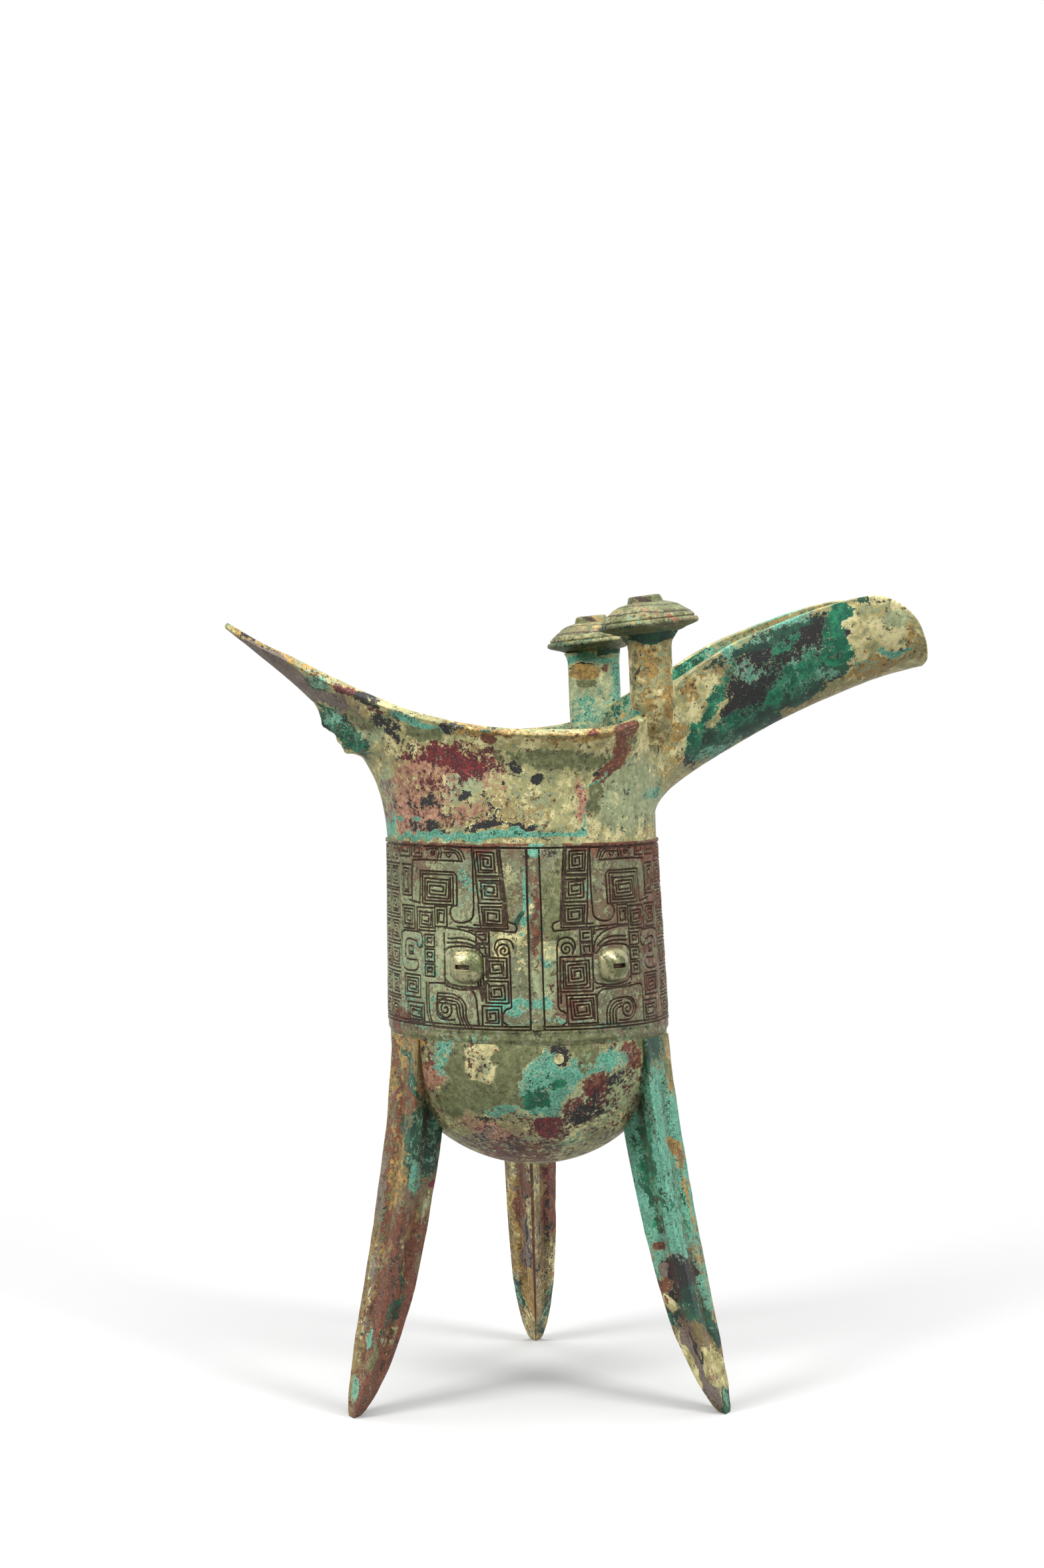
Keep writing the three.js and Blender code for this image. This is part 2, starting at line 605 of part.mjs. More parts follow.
// An ox head: a skull with a snout, and two horns that curl up beside it.
function oxHead() {
  const { middle, normal } = strapAt(2.1);
  const skull = new THREE.SphereGeometry(1, 20, 12);
  skull.scale(HEAD_DEEP * 0.75, HEAD_WIDTH * 0.46, HEAD_LENGTH * 0.44);
  const snout = new THREE.SphereGeometry(1, 18, 10);
  snout.scale(HEAD_DEEP * 0.6, HEAD_WIDTH * 0.32, HEAD_LENGTH * 0.4);
  snout.translate(HEAD_DEEP * 0.3, 0, -HEAD_LENGTH * 0.32);
  let head = solidOf(skull).add(solidOf(snout));
  for (const side of [-1, 1]) {
    const line = new THREE.CatmullRomCurve3([
      new THREE.Vector3(0, side * 3, HEAD_LENGTH * 0.22),
      new THREE.Vector3(1, side * HORN_SPREAD, HEAD_LENGTH * 0.4),
      new THREE.Vector3(0, side * (HORN_SPREAD + 1), HEAD_LENGTH * 0.66),
      new THREE.Vector3(-1.5, side * (HORN_SPREAD - 1), HEAD_LENGTH * 0.82),
    ]);
    const steps = 8;
    const rings = [];
    for (let k = 0; k <= steps; k++) {
      const at = line.getPoint(k / steps);
      const thick = HORN_RADIUS * (1 - 0.6 * (k / steps));
      const ring = [];
      for (let i = 0; i < 8; i++) {
        const angle = (i / 8) * 2 * Math.PI;
        ring.push(new THREE.Vector3(at.x + thick * Math.cos(angle), at.y + thick * Math.sin(angle), at.z));
      }
      rings.push(ring);
    }
    head = head.add(solidOf(lofted(rings)));
  }
  const geometry = geometryOf(head);
  geometry.rotateY(-Math.atan2(normal.y, normal.x));
  geometry.translate(middle.x, 0, middle.y);
  return atAzimuth(geometry, HANDLE_AZIMUTH);
}

// Materials and assembly

const bronze = (colour, roughness, metalness) =>
  new THREE.MeshStandardMaterial({ color: colour, roughness, metalness });
const olive = bronze(0x7d7f57, 0.6, 0.35);
const pale = bronze(0xb3b088, 0.62, 0.25);
const malachite = bronze(0x3f8a6c, 0.75, 0.1);
const russet = bronze(0x7a5a44, 0.7, 0.25);
const polished = bronze(0x9a9a74, 0.4, 0.6);

const vessel = new THREE.Group();
const lean = new THREE.Matrix4().set(1, 0, LEAN_X, 0, 0, 1, LEAN_Y, 0, 0, 0, 1, 0, 0, 0, 0, 1);

function place(name, geometry, material) {
  const mesh = new THREE.Mesh(geometry, material);
  mesh.name = name;
  geometry.applyMatrix4(lean);
  vessel.add(mesh);
}

const cutter = bodyCutter(SEAT_GAP);
const sheet = lipSheet(0);
const grownSheet = lipSheet(SEAT_GAP);
const lipCutter = grownSheet.add(grownSheet.translate([0, 0, SEAT_GAP]));
const farOut = 300;

place("bowl", bowl(), olive);
place("ornament_band", band(), russet);
place("mouth", geometryOf(sheet.intersect(slab(TAIL_CUT * PLAN, SPOUT_CUT * PLAN))), pale);
place("spout", geometryOf(sheet.intersect(slab(SPOUT_CUT * PLAN, farOut))), malachite);
place("tail", geometryOf(sheet.intersect(slab(-farOut, TAIL_CUT * PLAN))), pale);
for (const [name, sizes] of Object.entries(LEGS)) {
  place(name, leg(sizes, cutter), russet);
}
for (const [name, azimuth] of Object.entries(SPACER_AZIMUTHS)) {
  place(name, spacerPlug(SPACER_RADIUS, WALL, azimuth), polished);
}
place("mask_ridge", ridge(MASK_AZIMUTH, cutter), olive);
const eyeAzimuths = {
  eye_front_tail_side: EYE_MIDDLE - EYE_ANGLE,
  eye_front_spout_side: EYE_MIDDLE + EYE_ANGLE,
  eye_rear_spout_side: EYE_MIDDLE + 180 - EYE_ANGLE,
  eye_rear_tail_side: EYE_MIDDLE + 180 + EYE_ANGLE,
};
for (const [name, azimuth] of Object.entries(eyeAzimuths)) {
  place(name, eye(azimuth, cutter), polished);
}
for (const [end, sizes] of Object.entries(POSTS)) {
  place("post_" + end, post(sizes, lipCutter), pale);
  place("post_cap_" + end, cap(sizes), olive);
}
place("handle_loop", geometryOf(largest(strap(0).subtract(cutter))), olive);
place("handle_ox_head", geometryOf(largest(solidOf(oxHead()).subtract(strap(SEAT_GAP)))), olive);

const box = new THREE.Box3().setFromObject(vessel);
vessel.position.set(-(box.min.x + box.max.x) / 2, -(box.min.y + box.max.y) / 2, 0);

export default vessel;
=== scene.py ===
import math

import bpy
import numpy as np
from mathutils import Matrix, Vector


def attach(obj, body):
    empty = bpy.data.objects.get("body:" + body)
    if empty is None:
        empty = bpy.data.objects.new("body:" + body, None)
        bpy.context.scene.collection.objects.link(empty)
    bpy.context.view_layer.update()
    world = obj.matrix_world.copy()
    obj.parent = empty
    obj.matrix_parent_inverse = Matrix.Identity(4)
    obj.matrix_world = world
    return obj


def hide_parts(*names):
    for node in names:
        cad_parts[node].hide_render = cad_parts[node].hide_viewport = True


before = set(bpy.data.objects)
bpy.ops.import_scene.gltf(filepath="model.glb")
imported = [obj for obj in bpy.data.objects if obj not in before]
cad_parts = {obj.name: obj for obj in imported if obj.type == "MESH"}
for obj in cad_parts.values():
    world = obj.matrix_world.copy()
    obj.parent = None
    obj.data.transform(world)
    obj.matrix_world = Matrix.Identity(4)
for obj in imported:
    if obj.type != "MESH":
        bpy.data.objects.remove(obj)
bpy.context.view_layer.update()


# Body sizes, as in the CAD model
LEG_CLEAR = 58.0
BOWL_RADIUS = 35.0
BOWL_ROUND = 32.0
WALL = 3.0
LIP_WALL = 2.6
BAND_FOOT = 92.0
BAND_TALL = 48.4
BAND_TOP = BAND_FOOT + BAND_TALL
BAND_LOW = 35.75
BAND_HIGH = 34.5
NECK_RADIUS = 34.2
LEAN_X = -0.0358
LEAN_Y = 0.0073
AXIS_X = -11.232  # where the cup's axis meets the ground, in the row frame
AXIS_Y = -11.374

# The eye point, where the camera stands: its turn about the cup, its distance from the axis, its
# height, and how far the axis stands to the right of the middle of its view.
EYE_TURN = math.radians(11.5)
EYE_AWAY = 627.0
EYE_HIGH = 167.8
AXIS_RIGHT = 5.1
FORWARD = np.array([math.sin(EYE_TURN), math.cos(EYE_TURN), 0.0])
RIGHT = np.array([math.cos(EYE_TURN), -math.sin(EYE_TURN), 0.0])
EYE = np.array([AXIS_X, AXIS_Y, EYE_HIGH]) - AXIS_RIGHT * RIGHT - EYE_AWAY * FORWARD


# Points and meshes


def to_frame(points):
    """Cup coordinates in millimetres to the row frame in metres."""
    moved = np.array(points, float)
    moved[:, 0] += LEAN_X * moved[:, 2] + AXIS_X
    moved[:, 1] += LEAN_Y * moved[:, 2] + AXIS_Y
    return moved / 1000


def front_view(points):
    """Where row-frame points in metres show on the plane through the cup's axis, in millimetres
    across from the middle of the view and up from the ground."""
    away = points * 1000 - EYE
    scale = EYE_AWAY / (away @ FORWARD)
    return away @ RIGHT * scale, EYE_HIGH + away[:, 2] * scale


def smooth(low, high, value):
    t = np.clip((value - low) / (high - low), 0, 1)
    return t * t * (3 - 2 * t)


def unit(vectors):
    return vectors / (np.linalg.norm(vectors, axis=-1, keepdims=True) + 1e-9)


def grid(*parts):
    """Points from their x, y and z, each of a shape that spreads to that of the others."""
    return np.stack(np.broadcast_arrays(*parts), axis=-1)


NOISE_VALUES = 4096
NOISE_KEYS = np.array([73856093, 19349663, 83492791])


def noise(points, size, seed):
    """Smooth noise from -1 to 1 whose features are about size across."""
    table = np.random.default_rng(seed).uniform(-1, 1, NOISE_VALUES)
    place = np.asarray(points) / size
    cell = np.floor(place).astype(np.int64)
    part = place - cell
    part = part * part * (3 - 2 * part)
    total = np.zeros(len(place))
    for corner in range(8):
        step = np.array([corner & 1, corner >> 1 & 1, corner >> 2])
        key = (cell + step) @ NOISE_KEYS
        weight = np.prod(np.where(step == 1, part, 1 - part), axis=1)
        total += weight * table[key % NOISE_VALUES]
    return total


def rough(points, sizes, seed):
    """Noise of several sizes added up, the smaller the weaker."""
    return sum(noise(points, size, seed + k) * size / sizes[0] for k, size in enumerate(sizes))


# Casting waves of each surface: the sizes of its features, seed and height
WAVES = {
    "bowl": ((14, 5, 2), 11, 0.16),
    "band": ((9, 3, 1.2), 21, 0.1),
    "eye": ((4, 1.5), 31, 0.03),
    "ridge": ((5, 1.6), 41, 0.07),
    "lip": ((12, 4, 1.6), 51, 0.14),
    "lump": ((3.0, 1.3), 61, 2.0),
    "leg": ((10, 3.5, 1.4), 71, 0.22),
    "post": ((7, 2.5, 1.2), 81, 0.12),
    "cap": ((5, 2, 0.9), 91, 1.0),
    "handle": ((8, 3), 101, 0.12),
    "head": ((3, 1.2), 111, 0.1),
}


def waves(points, name):
    sizes, seed, height = WAVES[name]
    return rough(points, sizes, seed) * height


def smooth_line(points, steps):
    """A smooth line through points, with that many steps between each two."""
    points = np.asarray(points, float)
    first = 2 * points[0] - points[1]
    last = 2 * points[-1] - points[-2]
    whole = np.vstack([first, points, last])
    places = np.linspace(0, len(points) - 1, (len(points) - 1) * steps + 1)
    cell = np.minimum(places.astype(int), len(points) - 2)
    t = (places - cell)[:, None]
    a, b, c, d = (whole[cell + k] for k in range(4))
    bend = (2 * a - 5 * b + 4 * c - d) * t**2 + (3 * b - a - 3 * c + d) * t**3
    return b + ((c - a) * t + bend) / 2


def grid_faces(rows, columns, round_rows=False, round_columns=True):
    """Corner numbers of the quads between a grid's points, which are numbered row by row."""
    upper = rows if round_rows else rows - 1
    across = columns if round_columns else columns - 1
    k, i = np.meshgrid(np.arange(upper), np.arange(across), indexing="ij")
    up = (k + 1) % rows
    on = (i + 1) % columns
    corners = [k * columns + i, k * columns + on, up * columns + on, up * columns + i]
    return np.stack(corners, axis=-1).reshape(-1, 4)


SHARP_ANGLE = math.radians(50)


def mesh_piece(name, points, faces, node, material, extra=()):
    """A piece from cup points, an array of quads and a list of other faces."""
    mesh = bpy.data.meshes.new(name)
    sizes = np.concatenate([np.full(len(faces), 4), [len(face) for face in extra]]).astype(int)
    corners = np.concatenate([np.ravel(faces), *extra]).astype(int)
    mesh.vertices.add(len(points))
    mesh.vertices.foreach_set("co", np.ravel(to_frame(points)).astype(np.float32))
    mesh.loops.add(len(corners))
    mesh.loops.foreach_set("vertex_index", corners)
    mesh.polygons.add(len(sizes))
    mesh.polygons.foreach_set("loop_start", np.concatenate([[0], np.cumsum(sizes)[:-1]]))
    mesh.polygons.foreach_set("loop_total", sizes)
    mesh.update(calc_edges=True)
    mesh.validate()
    mesh.shade_smooth()
    mesh.set_sharp_from_angle(angle=SHARP_ANGLE)
    piece = bpy.data.objects.new(name, mesh)
    bpy.context.collection.objects.link(piece)
    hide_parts(node)
    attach(piece, "root")
    mesh.materials.append(material)
    return piece


def closed_loft(rings):
    """Points, quads and two end faces of a closed body through rings, an array of rows of points."""
    rows, columns = rings.shape[:2]
    first = np.arange(columns)[::-1]
    last = np.arange(columns) + (rows - 1) * columns
    return rings.reshape(-1, 3), grid_faces(rows, columns), [first, last]


def turned(profile, segments):
    """A ring of points for each [radius, height] pair."""
    angle = np.linspace(0, 2 * math.pi, segments, endpoint=False)
    profile = np.asarray(profile, float)
    return grid(profile[:, :1] * np.cos(angle), profile[:, :1] * np.sin(angle), profile[:, 1:])


def at_azimuth(points, azimuth):
    c, s = math.cos(math.radians(azimuth)), math.sin(math.radians(azimuth))
    x, y, z = np.moveaxis(points, -1, 0)
    return np.stack([x * c - y * s, x * s + y * c, z], axis=-1)


def tilted(points, angle):
    """Points turned about Y so that their +X end rises by an angle in radians."""
    c, s = math.cos(angle), math.sin(angle)
    x, y, z = np.moveaxis(points, -1, 0)
    return np.stack([x * c - z * s, y, x * s + z * c], axis=-1)


def ellipse(across, up, u, w, half_u, half_w, turn=0.0):
    """Distance from the middle of an ellipse in the front view, 1 at its edge."""
    c, s = math.cos(math.radians(turn)), math.sin(math.radians(turn))
    du, dw = across - u, up - w
    return np.hypot((du * c + dw * s) / half_u, (dw * c - du * s) / half_w)


# Patina

LAYERS = [
    "cream", "ochre", "celadon",
    "rust", "salmon", "lilac",
    "crimson", "charcoal", "pine",
    "turquoise", "emerald", "olive",
]
SEEN_FROM, SEEN_FULLY = -0.25, 0.1  # cosine between a surface's normal and the way to the eye point
EDGE_SIZES = (5.0, 2.2, 1.0)  # wander of the spots' edges, its seeds and its reach
EDGE_SEEDS = (3, 7)
EDGE_REACH = 1.5
SPOT_CORE, SPOT_END = 0.55, 1.35  # where a spot starts to fade and where it ends
HIDDEN_SIZES = (26.0, 11.0)  # patches on the unseen sides, their first seed and strength
HIDDEN_SEED = 41
HIDDEN_STRENGTH = 1.3


def paint(piece, rear, front, spots=(), carve=None, outside=None):
    """Stores how much of each patina layer lies at each point. Rear holds the share of each layer
    on the unseen sides and front that on the seen ones. Each group of spots is a layer's name and
    ellipses of the front view in which it is stronger: (across, up, half width, half height,
    strength[, turn]). Clear takes all layers away. Carve is the depth of dirt and painted shade at
    each point, and outside is 0 where a point can't be seen."""
    mesh = piece.data
    count = len(mesh.vertices)
    points, normals = np.empty(count * 3, np.float32), np.empty(count * 3, np.float32)
    mesh.vertices.foreach_get("co", points)
    mesh.vertex_normals.foreach_get("vector", normals)
    points = points.reshape(-1, 3).astype(float)
    place = points * 1000
    facing = (normals.reshape(-1, 3).astype(float) * unit(EYE - place)).sum(axis=1)
    seen = smooth(SEEN_FROM, SEEN_FULLY, facing)
    if outside is not None:
        seen = seen * outside
    across, up = front_view(points)
    across = across + rough(place, EDGE_SIZES, EDGE_SEEDS[0]) * EDGE_REACH
    up = up + rough(place, EDGE_SIZES, EDGE_SEEDS[1]) * EDGE_REACH
    values = np.zeros((count, len(LAYERS)))
    for layer, share in front.items():
        values[:, LAYERS.index(layer)] = share
    for layer, *places in spots:
        for u, w, half_u, half_w, strength, *turn in places:
            inside = 1 - smooth(SPOT_CORE, SPOT_END, ellipse(across, up, u, w, half_u, half_w, *turn))
            if layer == "clear":
                values *= (1 - strength * inside)[:, None]
            else:
                values[:, LAYERS.index(layer)] += strength * inside
    hidden = np.zeros((count, len(LAYERS)))
    for layer, share in rear.items():
        k = LAYERS.index(layer)
        hidden[:, k] = share * (1 + HIDDEN_STRENGTH * rough(place, HIDDEN_SIZES, HIDDEN_SEED + k))
    values = hidden + (values - hidden) * seen[:, None]
    for k in range(len(LAYERS) // 3):
        stored = mesh.attributes.new("patina_%d" % k, "FLOAT_VECTOR", "POINT")
        stored.data.foreach_set("vector", np.ravel(values[:, 3 * k : 3 * k + 3]).astype(np.float32))
    stored = mesh.attributes.new("carve", "FLOAT", "POINT")
    if carve is not None:
        stored.data.foreach_set("value", np.asarray(carve, np.float32))


def linear(colour):
    """An sRGB colour from 0 to 255 as a linear one."""
    parts = (c / 255 / 12.92 if c <= 10 else ((c / 255 + 0.055) / 1.055) ** 2.4 for c in colour)
    return (*parts, 1.0)


# Two tones of each layer, its edge's softness and the height of its crust
TONES = {
    "cream": ((208, 199, 148), (176, 166, 112), 0.05, 0.25),
    "ochre": ((172, 142, 80), (138, 110, 62), 0.06, 0.2),
    "celadon": ((148, 160, 122), (174, 180, 138), 0.06, 0.2),
    "rust": ((122, 76, 54), (96, 60, 46), 0.06, 0.2),
    "salmon": ((190, 150, 122), (162, 114, 92), 0.05, 0.2),
    "lilac": ((132, 118, 106), (106, 94, 88), 0.07, 0.2),
    "crimson": ((124, 50, 52), (84, 38, 40), 0.05, 0.3),
    "charcoal": ((44, 42, 42), (30, 34, 32), 0.05, 0.1),
    "pine": ((42, 84, 64), (30, 60, 50), 0.05, 0.35),
    "turquoise": ((126, 182, 156), (70, 146, 124), 0.04, 0.8),
    "emerald": ((44, 132, 96), (22, 88, 66), 0.04, 0.9),
    "olive": ((124, 130, 90), (102, 106, 70), 0.06, 0.1),
}

# Pale edges of some layers, with their width as a step of the layer's level and their strength
SHORES = {"turquoise": (172, 200, 168), "emerald": (110, 176, 142), "olive": (158, 158, 116)}
SHORE_STEP = 0.07
SHORE_SHARE = 0.6

# The four noises of a patina, from broad to dust: size in metres, detail, offset and the share
# each has in the waves that break up the layers' edges
NOISES = (
    (0.012, 5.0, (0.0, 0.0, 0.0), 0.45),
    (0.0042, 6.0, (0.3, 0.1, 0.7), 1.2),
    (0.0013, 5.0, (0.9, 0.4, 0.2), 1.7),
    (0.00045, 3.0, (0.2, 0.8, 0.5), 0.8),
)
NOISE_ROUGHNESS = 0.62

# Where each change of tone starts and is full, on noise with a middle of 0.5
GROUND_RAMP = (0.38, 0.62)
THIRD_TONE_RAMP = (0.62, 0.78)
LAYER_RAMP = (0.41, 0.59)
# Carved places darken partly with dirt and partly with painted shade
DIRT_AND_SHADE_RAMP = (0.5, 0.78)
PIT_RAMP = (0.835, 0.87)
SPECK_RAMP = (0.91, 0.95)

# What lies over all layers: how strong it is and its colour
# How strongly carved places take the dirt and painted shade tone
DIRT_AND_SHADE_SHARE = 0.94
PITS = (0.8, (48, 38, 32))
SPECKS = (0.42, (208, 204, 166))
TINT = (0.44, (110, 104, 84))
BUMP_STRENGTH = 0.55
BUMP_DISTANCE = 0.0002
SPECULAR = 0.3


class Graph:
    """Short calls for building the node tree of a material or world. Each gives outputs."""

    def __init__(self, owner):
        owner.use_nodes = True
        self.tree = owner.node_tree
        self.tree.nodes.clear()

    def node(self, kind, inputs=None, **settings):
        made = self.tree.nodes.new(kind)
        for key, value in settings.items():
            setattr(made, key, value)
        for key, value in (inputs or {}).items():
            if isinstance(value, bpy.types.NodeSocket):
                self.tree.links.new(value, made.inputs[key])
            else:
                made.inputs[key].default_value = value
        return made.outputs

    def math(self, operation, *inputs):
        return self.node("ShaderNodeMath", dict(enumerate(inputs)), operation=operation)[0]

    def times(self, a, b, plus=None):
        """a times b, and plus a third value if there is one."""
        return self.math("MULTIPLY", a, b) if plus is None else self.math("MULTIPLY_ADD", a, b, plus)

    def vector(self, operation, *inputs):
        return self.node("ShaderNodeVectorMath", dict(enumerate(inputs)), operation=operation)

    def noise(self, where, size, detail, offset=(0.0, 0.0, 0.0)):
        """Noise with features of about size metres; its colour is three even channels about a half."""
        moved = self.vector("ADD", where, offset)[0]
        inputs = {"Vector": moved, "Scale": 1 / size, "Detail": detail, "Roughness": NOISE_ROUGHNESS}
        return self.node("ShaderNodeTexNoise", inputs)

    def mix(self, share, a, b, blend="MIX"):
        settings = {"data_type": "RGBA", "blend_type": blend, "clamp_factor": True}
        return self.node("ShaderNodeMix", {0: share, 6: a, 7: b}, **settings)[2]

    def ramp(self, value, low, high):
        inputs = {0: value, 1: low, 2: high, 3: 0.0, 4: 1.0}
        return self.node("ShaderNodeMapRange", inputs, interpolation_type="SMOOTHSTEP")[0]

    def apart(self, vector):
        return self.node("ShaderNodeSeparateXYZ", {0: vector})


def patina(name, tones, groove, metal=0.15, shine=0.55):
    """A bronze's patina: a ground of three tones, twelve layers over it, dirt and painted shade in
    what is carved, and fine pits and dust."""
    material = bpy.data.materials.new(name)
    g = Graph(material)
    where = g.node("ShaderNodeTexCoord")["Object"]
    b, m, f, d = (g.apart(g.noise(where, *look)["Color"]) for *look, _ in NOISES)
    shares = [share for *_, share in NOISES]
    # Noise about 0 in three channels for each attribute, with the channels in another order each time
    breaks = []
    for p, q, r in ((0, 1, 2), (1, 2, 0), (2, 0, 1), (0, 2, 1)):
        total = (-0.5 * sum(shares),) * 3
        orders = ((p, q, r), (q, r, p), (r, p, q), (q, p, r))
        for channels, order, share in zip((b, m, f, d), orders, shares):
            joined = g.node("ShaderNodeCombineXYZ", {k: channels[i] for k, i in enumerate(order)})[0]
            total = g.vector("MULTIPLY_ADD", joined, (share,) * 3, total)[0]
        breaks.append(total)
    colour = g.mix(g.ramp(m[0], *GROUND_RAMP), linear(tones[0]), linear(tones[1]))
    third = g.ramp(g.math("ADD", b[1], g.times(f[0], 0.35)), *THIRD_TONE_RAMP)
    colour = g.mix(third, colour, linear(tones[2]))
    crust = g.times(m[1], 0.3)
    for k in range(len(LAYERS) // 3):
        stored = g.node("ShaderNodeAttribute", attribute_name="patina_%d" % k)["Vector"]
        level = g.apart(g.vector("ADD", stored, breaks[k])[0])
        for j, layer in enumerate(LAYERS[3 * k : 3 * k + 3]):
            light, dark, soft, raised = TONES[layer]
            cover = g.ramp(level[j], 0.5 - soft, 0.5 + soft)
            shade = g.ramp((m, f, f, d)[(j + k) % 4][(j + 2 * k) % 3], *LAYER_RAMP)
            if layer in SHORES:
                shore = g.ramp(level[j], 0.5 - soft - SHORE_STEP, 0.5 - soft)
                colour = g.mix(g.times(shore, SHORE_SHARE), colour, linear(SHORES[layer]))
            colour = g.mix(cover, colour, g.mix(shade, linear(light), linear(dark)))
            crust = g.times(cover, g.times(f[(j + 1) % 3], raised, raised * 0.3), crust)
    carved = g.node("ShaderNodeAttribute", attribute_name="carve")["Fac"]
    # What is carved darkens towards the groove tone: dirt, and painted shade in the hollows
    dirt_and_shade = g.ramp(g.times(f[2], 0.5, carved), *DIRT_AND_SHADE_RAMP)
    colour = g.mix(g.times(dirt_and_shade, DIRT_AND_SHADE_SHARE), colour, linear(groove))
    pits = g.ramp(g.times(f[0], 0.6, g.times(d[0], 0.4, g.times(m[2], 0.5))), *PIT_RAMP)
    colour = g.mix(g.times(pits, PITS[0]), colour, linear(PITS[1]))
    specks = g.ramp(g.times(f[1], 0.5, g.times(d[1], 0.6, g.times(b[2], 0.5))), *SPECK_RAMP)
    colour = g.mix(g.times(specks, SPECKS[0]), colour, linear(SPECKS[1]))
    tint = g.ramp(g.times(f[1], 0.5, g.times(m[0], 0.5)), *GROUND_RAMP)
    colour = g.mix(g.times(tint, TINT[0]), colour, linear(TINT[1]), "MULTIPLY")
    height = g.times(pits, -0.5, g.times(d[2], 0.35, g.times(f[0], 0.6, crust)))
    relief = {"Strength": BUMP_STRENGTH, "Distance": BUMP_DISTANCE, "Height": height}
    shader = g.node("ShaderNodeBsdfPrincipled", {
        "Base Color": colour,
        "Metallic": metal,
        "Roughness": g.times(f[2], 0.35, shine - 0.15),
        "Normal": g.node("ShaderNodeBump", relief)[0],
        "Specular IOR Level": SPECULAR,
    })
    g.node("ShaderNodeOutputMaterial", {"Surface": shader[0]})
    return material


# Bowl

BOWL_SEGMENTS = 360
BOWL_STEPS = 60
BOWL_POLE = 0.02  # angle of the first ring round the bowl's lowest point


def bowl_outline(grow):
    """Radius and height pairs of the bowl's skin, grown outward, from its foot to the band."""
    angle = np.linspace(BOWL_POLE, math.pi / 2, BOWL_STEPS)
    height = LEG_CLEAR + BOWL_ROUND - (BOWL_ROUND + grow) * np.cos(angle)
    points = np.stack([(BOWL_RADIUS + grow) * np.sin(angle), height], axis=1)
    return np.vstack([points, [[BOWL_RADIUS + grow, BAND_FOOT]]])


def make_bowl():
    rings = turned(np.vstack([bowl_outline(0), bowl_outline(-WALL)[::-1]]), BOWL_SEGMENTS)
    flat, faces, ends = closed_loft(rings)
    above_foot = smooth(LEG_CLEAR + 1, LEG_CLEAR + 12, flat[:, 2])
    flat = flat + unit(flat * [1, 1, 0]) * (waves(flat, "bowl") * above_foot)[:, None]
    piece = mesh_piece("bowl_shell", flat, faces, "bowl", OLIVE, ends)
    paint(piece, REAR, BOWL_FRONT, BOWL_SPOTS)


# Ornament band, in its own coordinates: s along it to the right of the ridge, h above its foot

MASK_AZIMUTH = -98.5
BAND_ROUND = 35.4  # radius at which s is measured
BAND_INNER_LOW = 32.0  # radius of the inner wall at the band's foot and top
BAND_INNER_HIGH = 31.6
BAND_COLUMNS = 300
BAND_ROWS = 250
BAND_QUARTER = BAND_ROUND * math.pi / 2
PITCH = 0.8  # from one groove to the next
GROOVE_HALF = 0.2
GROOVE_DEEP = 0.45
GROOVE_REACH = 1.2  # no distance from a groove is measured beyond this
ORNAMENT_FOOT, ORNAMENT_TOP = (3.0, 3.4), (47.7, 47.9)  # where the grooves start and end in h


def line(*points):
    return np.array(points, float)


def curve(*points):
    return smooth_line(points, 8)


def square_spiral(s, h, wide, tall, start, slant=0.0, way=1, framed=True):
    """A square spiral groove that winds in from a corner, and the square round it. Slant leans
    their sides."""
    corners = [(-1, -1), (1, -1), (1, 1), (-1, 1)]
    corners = corners[start:] + corners[:start]
    if way < 0:
        corners = corners[:1] + corners[:0:-1]
    points = []
    half_s, half_h = wide / 2, tall / 2
    while min(half_s, half_h) > PITCH * 0.35:
        a, b = corners[len(points) % 4]
        points.append((a * half_s, b * half_h))
        if len(points) >= 3:
            half_s -= PITCH / 4
            half_h -= PITCH / 4
    found = [np.array(points)]
    if framed:
        w, t = wide / 2 + PITCH, tall / 2 + PITCH
        found.append(line((-w, -t), (w, -t), (w, t), (-w, t), (-w, -t)))
    return [groove @ np.array([[1, 0], [slant, 1]]) + [s, h] for groove in found]


def round_spiral(s, h, radius, turns, start, way=1):
    """A round spiral groove; start is the angle of its outer end."""
    t = np.linspace(0, 1, int(turns * 20))
    angle = math.radians(start) + way * t * turns * 2 * math.pi
    r = radius * (1 - 0.88 * t)
    return np.stack([s + r * np.cos(angle), h + r * np.sin(angle)], axis=1)


# Square spirals of the spout side: s, h, wide, tall, first corner
SPIRALS = (
    # In and round the horn
    (26, 37, 8.2, 5.4, 3), (33, 46.2, 2.4, 2.0, 2), (38.4, 46.2, 3.4, 2.0, 1), (37.6, 38.8, 3.0, 5.6, 0),
    (25, 30.6, 2.2, 3.2, 1), (30, 29.8, 4.6, 4.0, 3), (36.9, 30, 4.0, 4.0, 1),
    # By the nostril and by the eye
    (13.5, 26, 1.7, 1.3, 2), (13.5, 22.8, 1.7, 1.3, 1),
    (28.8, 24.6, 1.6, 1.4, 1), (28.8, 21, 1.6, 1.4, 1), (28.8, 17.4, 1.6, 1.4, 1),
    # Behind the jaw
    (35.6, 13.2, 5.0, 3.8, 1), (34.4, 6.7, 5.0, 3.4, 3),
)
OUTER_HEIGHTS = (6.7, 13.2, 20, 26.6, 33.2, 39.6, 45.4)


